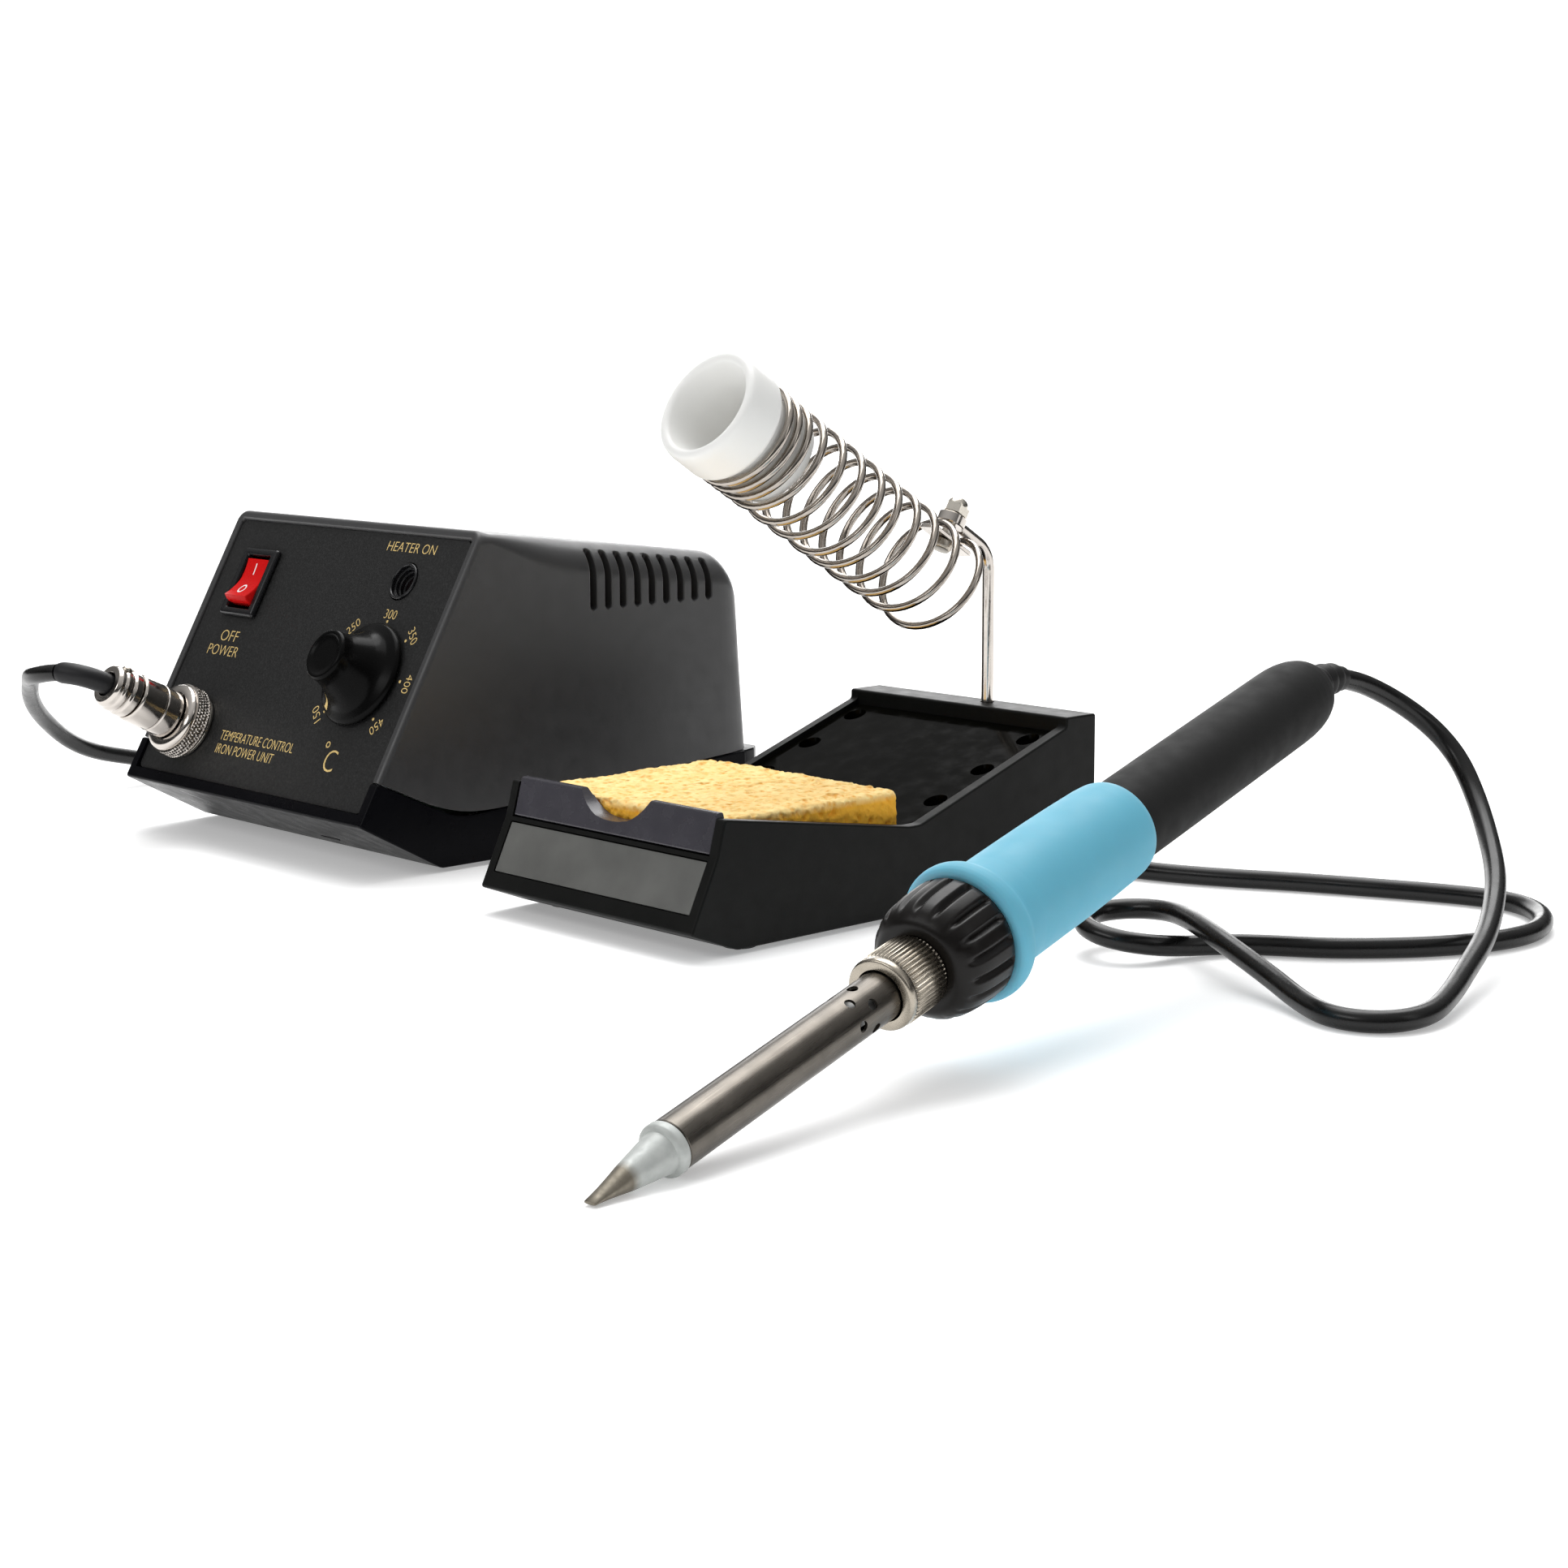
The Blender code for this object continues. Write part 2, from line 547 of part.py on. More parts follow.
def build_connector():
    place = panel(*SOCKET_AT)
    socket = [(0, -9.0), (7.9, -9.0), (7.9, GAP), (9.8, GAP), (9.8, 1.2), (7.9, 1.2), (7.9, 6.4), (7.35, 6.4),
              (7.35, 2.2), (0, 2.2)]
    lathe("panel_socket", socket, 26, place, NICKEL)
    hex_nut("socket_nut", 8.3, 19.0, -4.6, -2.3, place, NICKEL)
    shell = [(0, 2.5), (6.6, 2.5), (7.0, 2.9), (7.0, 8.6), (7.15, 9.0), (7.15, 21.8), (6.8, 22.4), (0, 22.4)]
    lathe("plug_shell", shell, 24, place, CHROME)
    lock = [(8.25, 1.5), (10.4, 1.5), (10.9, 1.9), (10.9, 2.7), (10.3, 3.1), (10.3, 6.6), (10.7, 7.0), (10.7, 7.7),
            (10.1, 8.3), (7.5, 8.3), (7.5, 6.9), (8.25, 6.9)]
    ring("coupling_ring", lock, 28, place, CHROME)
    head = [(0, 22.7), (6.5, 22.7), (6.9, 23.2), (6.9, 25.4), (6.4, 26.0), (6.4, 30.2), (5.6, 31.0), (3.7, 31.0),
            (3.5, 24.6), (0, 24.6)]
    clamp = lathe("plug_clamp", head, 20, place, CHROME)
    flat = prism("flat", rounded(20.0, 10.0, 0.1, 1, 0.0, 10.0), 26.4, 30.0, place, CHROME)
    cut(clamp, cutter("clamp_flat", [flat]))
    for i, side in enumerate((-2.6, 2.6)):
        at = place @ Matrix.Translation((side * MM, 5.3 * MM, 28.2 * MM)) @ Matrix.Rotation(-math.pi / 2, 4, "X")
        lathe(f"clamp_screw_{i + 1}", [(0, 0), (1.5, 0), (1.5, 0.8), (1.1, 1.2), (0, 1.2)], 14, at, STEEL)


def build_inside():
    at = level(60, 104, 0)
    core = [(-30.0, 4.0), (30.0, 4.0), (30.0, 52.0), (-30.0, 52.0)]
    stack = prism("transformer_core", core, -11.0, 11.0, facing_front(60, 104, 0), STEEL)
    windows = []
    for x in (-15.0, 15.0):
        hole = rounded(10.0, 30.0, 0.2, 1, x, 28.0)
        windows.append(prism("window", hole, -14.0, 14.0, facing_front(60, 104, 0), STEEL))
    cut(stack, cutter("core_windows", windows))
    outer = rounded(39.0, 40.0, 6.0)
    inner = rounded(20.7, 22.7, 1.0)
    steps = ((outer, 13.4), (outer, 42.6), (inner, 42.6), (inner, 13.4))
    verts = [v for outline, z in steps for v in lift(outline, z)]
    count = len(outer)
    faces = []
    for k in range(4):
        m = (k + 1) % 4
        for i in range(count):
            j = (i + 1) % count
            faces.append((k * count + i, k * count + j, m * count + j, m * count + i))
    new_object("transformer_winding", verts, faces, at, COPPER, smooth=False)
    prism("circuit_board", rounded(96.0, 40.0, 1.0, 1, 60.0, 58.0), 4.0, 5.6, level(0, 0, 0), BOARD_GREEN)


def build_rear():
    gland = [(5.1, -5.4), (5.1, 1.7), (7.6, 1.7), (7.6, 4.0), (6.2, 4.6), (5.6, 9.0), (4.6, 10.0), (3.4, 10.0),
             (3.4, -5.4)]
    ring("mains_gland", gland, 20, facing_rear(30.0, 139.0, 38.0), BLACK_SATIN)
    holder = [(0, -11.0), (6.5, -11.0), (6.5, 1.7), (8.4, 1.7), (8.4, 3.4), (7.8, 4.0), (0, 4.0)]
    lathe("fuse_holder", holder, 20, facing_rear(60.0, 139.0, 38.0), BLACK_SATIN)


def build_stand():
    right = facing_right(STAND_X, STAND_Y, 0)
    body = [(0.0, 6.9), (14.9, 1.2), (143.6, 1.2), (143.6, 45.0), (131.9, 45.0), (131.9, 42.4), (77.0, 23.6),
            (73.0, 23.6), (10.9, 33.2), (8.45, 24.3)]
    base = prism("stand_base", body, 0.0, STAND_W, right, BLACK_SATIN)
    well = [(11.4, 15.0), (76.8, 15.0), (76.8, 19.7), (132.0, 38.6), (131.7, 60.0), (-5.0, 60.0), (-5.0, 24.3),
            (11.4, 24.3)]
    under = [(20.0, -1.0), (138.6, -1.0), (138.6, 38.0), (135.0, 38.0), (78.5, 16.2), (74.0, 12.0), (20.0, 12.0)]
    cut(base, cutter("stand_well", [prism("well", well, 3.0, STAND_W - 3.0, right, BLACK_SATIN)]))
    tools = [prism("under", under, 14.0, STAND_W - 14.0, right, BLACK_SATIN)]
    label = frame((1, 0, 0), (0, 0.437, 0.8995), (0, -0.8995, 0.437), (STAND_X + 40.5, STAND_Y + 4.95, 17.15))
    tools.append(prism("recess", rounded(75.0, 13.8, 0.4, 1), -1.2, 4.0, label, BLACK_SATIN))
    for x, y in STAND_FEET:
        tools.append(prism("pocket", circle(5.1, 12), -1.0, 3.6, level(STAND_X + x, STAND_Y + y, 0), BLACK_SATIN))
    post_hole = level(STAND_X + POST_X, STAND_Y + POST_Y, 0)
    tools.append(prism("post_hole", circle(POST_R + GAP, 24), 40.6, 60.0, post_hole, BLACK_SATIN))
    for x in RAMP_HOLES_X:
        for y in RAMP_HOLES_Y:
            at = level(STAND_X + x, STAND_Y + y, 0)
            tools.append(prism("tip_hole", circle(RAMP_HOLE_R, 14), 8.0, 60.0, at, BLACK_SATIN))
    cut(base, cutter("stand_openings", tools))
    prism("front_plate", rounded(74.4, 13.2, 0.3, 1), -0.9, -0.2, label, PLATE_GREY)
    ramp = [(77.2, 20.2), (131.5, 38.8), (131.5, 41.0), (77.2, 22.4)]
    plate = prism("ramp_plate", ramp, 3.3, STAND_W - 3.3, right, BLACK_GLOSS)
    drills = []
    for x in RAMP_HOLES_X:
        for y in RAMP_HOLES_Y:
            at = level(STAND_X + x, STAND_Y + y, 0)
            drills.append(prism("drill", circle(RAMP_HOLE_R, 14), 10.0, 60.0, at, BLACK_SATIN))
    cut(plate, cutter("ramp_holes", drills))
    for i, (x, y) in enumerate(STAND_FEET):
        profile = [(0, 0), (4.1, 0), (4.7, 0.8), (4.7, 3.3), (0, 3.3)]
        lathe(f"stand_foot_{i + 1}", profile, 12, level(STAND_X + x, STAND_Y + y, 0), RUBBER)


def build_tray():
    right = facing_right(STAND_X, STAND_Y, 0)
    body = [(8.7, 24.6), (11.4, 34.3), (13.4, 34.3), (13.9, 32.2), (76.5, 22.6), (76.5, 15.3), (11.7, 15.3),
            (11.7, 24.6)]
    tray = prism("sponge_tray", body, 3.3, STAND_W - 3.3, right, BLACK_GLOSS)
    pocket = [(14.2, 16.9), (75.0, 16.9), (75.0, 60.0), (14.2, 60.0)]
    notch = [(x + 40.5, z) for x, z in ((-14.0, 60.0), (-14.0, 36.0), (-12.6, 33.6), (-9.8, 30.6), (-6.0, 28.5),
                                        (0.0, 27.8), (6.0, 28.5), (9.8, 30.6), (12.6, 33.6), (14.0, 36.0),
                                        (14.0, 60.0))]
    cut(tray, cutter("tray_pocket", [prism("pocket", pocket, 4.9, STAND_W - 4.9, right, BLACK_SATIN)]))
    front = facing_front(STAND_X, STAND_Y, 0)
    cut(tray, cutter("tray_notch", [prism("notch", notch, -14.8, -2.0, front, BLACK_SATIN)]))
    outline = rounded(STAND_W - 10.6, 60.0, 1.2, 2, STAND_X + STAND_W / 2, STAND_Y + 44.6)
    prism("sponge", outline, 17.2, 32.3, level(0, 0, 0), SPONGE)


def build_holder():
    bar = []
    corner = spring_frame(10.36, 17.05).translation / MM + Vector(LAYOUT_ORIGIN)
    ahead = Vector((0.0, -math.cos(SPRING_ELEV), math.sin(SPRING_ELEV)))
    start = corner - Vector((0.0, 0.0, 1.0)) * 5.5
    end = corner + ahead * 5.5
    bar = [Vector((corner.x, corner.y, 41.0)), start]
    for k in range(1, 5):
        f = k / 5
        bar.append(start * (1 - f) ** 2 + corner * 2 * f * (1 - f) + end * f ** 2)
    bar.append(end)
    bar.append(corner + ahead * 14.4)
    shift = [p - Vector(LAYOUT_ORIGIN) for p in bar]
    post = sweep("stand_post", shift, [POST_R] * len(bar), 12, Matrix.Identity(4), CHROME)
    eye = lathe("eye", [(0, 15.7), (4.0, 15.7), (4.0, 18.6), (0, 18.6)], 16, clamp_frame(), CHROME)
    joined = cutter("post_eye", [eye])
    join = post.modifiers.new("eye", "BOOLEAN")
    join.operation = "UNION"
    join.solver = "EXACT"
    join.object = joined
    cut(post, cutter("eye_hole", [prism("bore", circle(1.85, 14), 10.0, 24.0, clamp_frame(), CHROME)]))

    bottoms = list(SPRING_LOWS)
    knots = [(0.0, SPRING_REAR_TOP)]
    for i, s in enumerate(bottoms):
        knots.append((0.5 + i, s))
        if i + 1 < len(bottoms):
            knots.append((1.0 + i, (s + bottoms[i + 1]) / 2))
    knots.append((len(bottoms) - 0.22, 106.2))
    path = []
    steps = int(knots[-1][0] * 16)
    for k in range(steps + 1):
        turns = knots[-1][0] * k / steps
        for (a, sa), (b, sb) in zip(knots, knots[1:]):
            if a <= turns <= b:
                s = sa + (sb - sa) * (turns - a) / (b - a)
                break
        angle = math.pi / 2 + 2 * math.pi * turns
        path.append((SPRING_R * math.cos(angle), SPRING_R * math.sin(angle), s))
    sweep("holder_spring", path, [SPRING_WIRE_R] * len(path), 5, spring_frame(), CHROME)
    collar = [(8.6, 92.0), (12.4, 92.0), (12.5, 107.6), (15.0, 107.9), (15.4, 109.0), (15.2, 117.6), (14.4, 119.2),
              (13.2, 119.6), (12.0, 119.2), (9.6, 110.0)]
    ring("spring_collar", collar, 28, spring_frame(), WHITE_CERAMIC)
    strip = prism("clamp_strip", rounded(6.0, 17.0, 1.5, 2, 0.0, -0.8), 11.2, 12.3, clamp_frame(), CHROME)
    cut(strip, cutter("strip_hole", [prism("bore", circle(1.85, 14), 8.0, 16.0, clamp_frame(), CHROME)]))
    bolt = [(0, 8.5), (2.5, 8.5), (2.9, 9.2), (2.9, 10.9), (1.5, 10.9), (1.5, 21.6), (0, 21.6)]
    lathe("clamp_bolt", bolt, 14, clamp_frame(), STEEL)
    nut = [(0, 24.0), (1.4, 23.8), (2.6, 22.9), (3.0, 21.8), (3.0, 21.2), (3.7, 21.2), (3.7, 19.0), (1.85, 19.0),
           (1.85, 22.0), (0, 22.0)]
    lathe("dome_nut", nut, 16, clamp_frame(), NICKEL)


def build_iron():
    place = iron()
    tip = [(0.0, 1.3, 0.35), (4.0, 1.7, 1.2), (9.8, 2.6, 2.6), (10.6, 2.75, 2.75), (18.8, 4.1, 4.1), (19.4, 5.2, 5.2),
           (21.6, 5.3, 5.3), (21.6, 4.1, 4.1), (28.0, 4.1, 4.1)]
    loops = []
    for s, w, h in tip:
        loops.append([(w * x, h * y, s) for x, y in circle(1.0, 22)])
    loft("iron_tip", loops, place, TIP_PLATING)
    tube = ring("iron_barrel", [(4.5, 21.9), (5.12, 21.9), (5.12, 103.0), (4.5, 103.0)], 28, place, STEEL)
    drills = []
    for s, first in VENT_ROWS:
        for k in range(6):
            at = place @ Matrix.Translation((0, 0, s * MM)) @ Matrix.Rotation(math.radians(first + 60 * k), 4, "Z")
            at = at @ Matrix.Rotation(math.pi / 2, 4, "Y")
            drills.append(prism("drill", circle(1.05, 6), 3.6, 9.0, at, STEEL))
    cut(tube, cutter("barrel_vents", drills))
    lathe("heater_element", [(0, 28.4), (2.8, 28.4), (2.8, 103.0), (0, 103.0)], 20, place, WHITE_CERAMIC)
    nut = [(5.5, 86.9), (7.3, 86.9), (7.8, 87.4), (7.8, 99.0), (7.4, 99.5), (5.5, 99.5)]
    ring("barrel_nut", nut, 28, place, NICKEL)
    cap = [(5.5, 99.8), (9.6, 99.8), (11.4, 101.2), (12.4, 103.5), (13.2, 108.0), (13.4, 114.6), (12.9, 115.4),
           (0, 115.4), (0, 103.6), (5.5, 103.6)]
    front = [(0, 103.6), (5.5, 103.6), *cap[:7], (0, 115.4)]
    lathe("front_cap", front, 28, place, BLACK_SATIN)
    grip = [(8.0, 115.8), (13.6, 115.8), (14.8, 116.6), (15.1, 118.4), (14.9, 120.4), (13.2, 121.6), (12.3, 123.6),
            (12.2, 127.2), (11.9, 127.8), (12.0, 152.0), (11.6, 170.0), (11.2, 174.6), (10.8, 175.2), (8.0, 175.2)]
    ring("grip_sleeve", grip, 28, place, BLUE_GRIP)
    handle = [(0, 115.8), (7.7, 115.8), (7.7, 175.5), (9.6, 175.5), (9.8, 200.0), (9.8, 252.0), (9.5, 258.0),
              (8.4, 263.0), (6.6, 266.6), (4.8, 268.0), (0, 268.0)]
    lathe("handle", handle, 26, place, DARK_PLASTIC)
    start = Vector(TIP_AT) + iron_axis() * 268.3
    route = [start, start + iron_axis() * 1.6, *(Vector(p) for p in RELIEF_ROUTE)]
    fine = walk(smooth_path(route), 1.3)
    radii = []
    for i in range(len(fine)):
        f = i / (len(fine) - 1)
        rib = 0.45 if i % 3 == 1 else 0.0
        radii.append(4.4 - 1.3 * f + rib)
    shift = [p - Vector(LAYOUT_ORIGIN) for p in fine]
    sweep("strain_relief", shift, radii, 12, Matrix.Identity(4), RUBBER)


def build_lead():
    run = smooth_path(CORD_ROUTE)
    sleeve = thin(run[: SLEEVE_STEPS + 1], 5.0, math.radians(12.0))
    shift = [p - Vector(LAYOUT_ORIGIN) for p in sleeve]
    sweep("cable_sleeve", shift, [SLEEVE_R] * len(shift), 16, Matrix.Identity(4), RUBBER)
    first = run[SLEEVE_STEPS].lerp(run[SLEEVE_STEPS + 1], 0.4)
    points = thin([first, *run[SLEEVE_STEPS + 1 :]], 24.0, math.radians(24.0))
    curve = bpy.data.curves.new("iron_cord", "CURVE")
    curve.dimensions = "3D"
    curve.bevel_depth = CORD_R * MM
    curve.bevel_resolution = 2
    curve.use_fill_caps = True
    spline = curve.splines.new("POLY")
    spline.points.add(len(points) - 1)
    for target, p in zip(spline.points, points):
        x, y, z = [(a - o) * MM for a, o in zip(p, LAYOUT_ORIGIN)]
        target.co = (x, y, z, 1.0)
    curve.materials.append(material(CORD_RUBBER))
    obj = bpy.data.objects.new("iron_cord", curve)
    bpy.context.scene.collection.objects.link(obj)


def main():
    clear_scene()
    build_cover()
    build_base()
    build_panel()
    build_switch()
    build_lamp()
    build_knob()
    build_connector()
    build_inside()
    build_rear()
    build_stand()
    build_tray()
    build_holder()
    build_iron()
    build_lead()


main()
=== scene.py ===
"""Soldering iron station: the visual model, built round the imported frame."""

import math

import bmesh
import bpy
from mathutils import Matrix, Vector, noise
from mathutils.bvhtree import BVHTree


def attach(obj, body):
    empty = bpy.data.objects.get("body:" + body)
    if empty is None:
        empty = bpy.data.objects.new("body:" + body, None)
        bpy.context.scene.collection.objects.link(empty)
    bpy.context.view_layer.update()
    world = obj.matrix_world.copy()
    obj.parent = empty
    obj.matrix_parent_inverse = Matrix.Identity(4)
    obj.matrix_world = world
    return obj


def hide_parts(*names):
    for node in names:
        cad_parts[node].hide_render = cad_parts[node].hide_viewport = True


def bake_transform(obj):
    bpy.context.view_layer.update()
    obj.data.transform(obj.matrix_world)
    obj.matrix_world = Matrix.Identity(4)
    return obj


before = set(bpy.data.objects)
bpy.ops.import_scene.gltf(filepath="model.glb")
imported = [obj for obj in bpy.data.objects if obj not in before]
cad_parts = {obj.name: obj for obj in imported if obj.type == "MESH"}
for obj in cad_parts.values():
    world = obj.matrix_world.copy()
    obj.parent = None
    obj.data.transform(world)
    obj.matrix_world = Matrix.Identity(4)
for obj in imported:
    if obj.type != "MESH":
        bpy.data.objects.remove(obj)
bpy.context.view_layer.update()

MM = 0.001
LAYOUT_ORIGIN = (187.23, 9.74, 0.0)
PANEL_ANGLE = math.radians(60.8)
LIP_Z = 15.4
UNIT_W = 120.0
BASE_RIM = 0.5
STAND_X = 168.5
STAND_Y = 2.1
STAND_W = 81.0
SPRING_ELEV = math.radians(31.3)
SPRING_FROM = (214.1, 141.5, 66.2)
BOLT_S = 27.6
TIP_AT = (372.3, -129.3, 0.75)
IRON_YAW = -0.158
IRON_PITCH = 0.228
SWITCH_AT = (21.8, 64.6)
LAMP_AT = (93.5, 70.7)
KNOB_AT = (93.6, 42.0)
SOCKET_AT = (21.8, 18.6)

SLOT_FIRST_Y = 80.6
SLOT_PITCH = 5.4
SLOT_COUNT = 9
SLOT_FOOT_Z = 67.6
SLOT_HALF = 1.2
SHELL_ARC = 10.0
DIAL_DOTS = (226, 135, 90, 45, 0, -45)
DIAL_DOT_R = 16.5
TIP_HOLES = [(x, y) for x in (8.1, 72.9) for y in (90.6, 108.1, 125.6)]
STAND_FEET = ((7.5, 22.0), (73.5, 22.0), (7.5, 135.0), (73.5, 135.0))
UNIT_FEET = ((12.0, 36.0), (108.0, 36.0), (12.0, 130.0), (108.0, 130.0))
COIL_R = 14.05
WIRE_R = 1.05
CORD_R = 2.5
SLEEVE_R = 3.1

# The lead's centre line, from inside the cable sleeve round to the handle, in metres.
# The cable sleeve covers its first SLEEVE_STEPS steps.
SLEEVE_STEPS = 14
CORD_ROUTE = [
    (-0.16543, -0.02244, 0.0438), (-0.16543, -0.02504, 0.04527), (-0.16543, -0.02794, 0.04687),
    (-0.16563, -0.03004, 0.04795), (-0.16723, -0.03274, 0.0491), (-0.17063, -0.03544, 0.05),
    (-0.17463, -0.03744, 0.0502), (-0.17914, -0.03873, 0.04967), (-0.184, -0.03906, 0.04862),
    (-0.18884, -0.03816, 0.04781), (-0.19344, -0.03638, 0.04706), (-0.19778, -0.03413, 0.04602),
    (-0.20199, -0.03183, 0.04461), (-0.20619, -0.02972, 0.04291), (-0.21034, -0.02769, 0.04099),
    (-0.21436, -0.02554, 0.03895), (-0.22197, -0.0206, 0.03474), (-0.22916, -0.01499, 0.03064),
    (-0.23582, -0.00881, 0.02649), (-0.24136, -0.00195, 0.0218), (-0.24555, 0.00578, 0.01705),
    (-0.24853, 0.01454, 0.01332), (-0.25051, 0.02398, 0.01071), (-0.25153, 0.03126, 0.009),
    (-0.25223, 0.04926, 0.0048), (-0.25073, 0.06826, 0.003), (-0.24823, 0.08826, 0.0026),
    (-0.24423, 0.10826, 0.0026), (-0.23823, 0.12626, 0.0026), (-0.22823, 0.14226, 0.0026),
    (-0.21323, 0.15326, 0.0026), (-0.19323, 0.15876, 0.0026), (-0.16523, 0.15976, 0.0026),
    (-0.12723, 0.15726, 0.0026), (-0.08723, 0.15326, 0.0026), (-0.04723, 0.15026, 0.0026),
    (-0.00723, 0.14726, 0.0026), (0.02777, 0.14426, 0.0026), (0.05777, 0.14326, 0.0026),
    (0.07477, 0.14576, 0.0026), (0.09177, 0.15226, 0.0026), (0.10877, 0.16126, 0.0026),
    (0.12877, 0.17026, 0.0026), (0.14777, 0.17776, 0.0026), (0.16177, 0.18026, 0.0026),
    (0.17327, 0.17476, 0.0026), (0.18177, 0.16426, 0.0026), (0.18577, 0.15226, 0.0026),
    (0.18477, 0.13986, 0.0026), (0.17877, 0.12526, 0.0026), (0.17077, 0.11376, 0.0026),
    (0.16027, 0.10326, 0.0026), (0.15077, 0.09726, 0.0026), (0.14277, 0.09026, 0.0027),
    (0.13827, 0.08126, 0.003), (0.13577, 0.07076, 0.0044), (0.12877, 0.06386, 0.006),
    (0.11927, 0.06546, 0.0074), (0.11457, 0.07426, 0.0082), (0.11857, 0.08286, 0.0088),
    (0.12877, 0.08506, 0.0094), (0.13977, 0.08016, 0.0096), (0.15127, 0.07386, 0.0089),
    (0.16427, 0.06806, 0.007), (0.17727, 0.06246, 0.0048), (0.18977, 0.05606, 0.0031),
    (0.20177, 0.05146, 0.0026), (0.21177, 0.05586, 0.0026), (0.21477, 0.06626, 0.003),
    (0.21177, 0.07826, 0.0042), (0.20577, 0.09426, 0.0066), (0.19927, 0.11126, 0.01),
    (0.19177, 0.12626, 0.0143), (0.18427, 0.13826, 0.019), (0.17377, 0.15026, 0.026),
    (0.16527, 0.15776, 0.033), (0.15777, 0.16126, 0.041), (0.15157, 0.16006, 0.0475),
    (0.14697, 0.15476, 0.053), (0.14427, 0.14726, 0.0574), (0.14297, 0.13976, 0.0605),
    (0.14267, 0.13586, 0.0614), (0.14257, 0.13286, 0.062),
]


# ---------------------------------------------------------------- camera
def set_camera():
    at = (0.54675, -0.43255, 0.15217)
    yaw, pitch, roll = -0.817, 0.168, -0.004
    ahead = Vector((math.sin(yaw) * math.cos(pitch), math.cos(yaw) * math.cos(pitch), -math.sin(pitch)))
    right = Vector((math.cos(yaw), -math.sin(yaw), 0.0))
    up = right.cross(ahead)
    r2 = right * math.cos(roll) + up * math.sin(roll)
    u2 = up * math.cos(roll) - right * math.sin(roll)
    data = bpy.data.cameras.new("camera")
    data.sensor_width = 36.0
    data.lens = 64.88
    data.clip_start = 0.01
    data.clip_end = 60.0
    cam = bpy.data.objects.new("camera", data)
    bpy.context.scene.collection.objects.link(cam)
    rows = [(r2[i], u2[i], -ahead[i], at[i]) for i in range(3)]
    cam.matrix_world = Matrix([*rows, (0.0, 0.0, 0.0, 1.0)])
    bpy.context.scene.camera = cam


# ---------------------------------------------------------------- placing
def place(x_axis, y_axis, z_axis, at):
    here = [(a - o) * MM for a, o in zip(at, LAYOUT_ORIGIN)]
    rows = [(x_axis[i], y_axis[i], z_axis[i], here[i]) for i in range(3)]
    return Matrix([*rows, (0.0, 0.0, 0.0, 1.0)])


def level(x=0.0, y=0.0, z=0.0):
    return place((1, 0, 0), (0, 1, 0), (0, 0, 1), (x, y, z))


def facing_right(x, y, z):
    return place((0, 1, 0), (0, 0, 1), (1, 0, 0), (x, y, z))


def facing_front(x, y, z):
    return place((1, 0, 0), (0, 0, 1), (0, -1, 0), (x, y, z))


def facing_rear(x, y, z):
    return place((-1, 0, 0), (0, 0, 1), (0, 1, 0), (x, y, z))


def panel_yz(up, out):
    c = math.cos(PANEL_ANGLE)
    s = math.sin(PANEL_ANGLE)
    return (up * c - out * s, LIP_Z + up * s + out * c)


def panel(across, up, out=0.0):
    c = math.cos(PANEL_ANGLE)
    s = math.sin(PANEL_ANGLE)
    return place((1, 0, 0), (0, c, s), (0, -s, c), (across, *panel_yz(up, out)))


def spring_frame(s=0.0, rise=0.0):
    c = math.cos(SPRING_ELEV)
    n = math.sin(SPRING_ELEV)
    x, y, z = SPRING_FROM
    return place((-1, 0, 0), (0, n, c), (0, -c, n), (x, y - c * s + n * rise, z + n * s + c * rise))


def clamp_frame():
    c = math.cos(SPRING_ELEV)
    n = math.sin(SPRING_ELEV)
    x, y, z = SPRING_FROM
    return place((-1, 0, 0), (0, -c, n), (0, n, c), (x, y - c * BOLT_S, z + n * BOLT_S))


def iron_axis():
    cp = math.cos(IRON_PITCH)
    return Vector((math.sin(IRON_YAW) * cp, math.cos(IRON_YAW) * cp, math.sin(IRON_PITCH)))


def iron():
    z_axis = iron_axis()
    x_axis = Vector((math.cos(IRON_YAW), -math.sin(IRON_YAW), 0.0))
    return place(x_axis, z_axis.cross(x_axis), z_axis, TIP_AT)


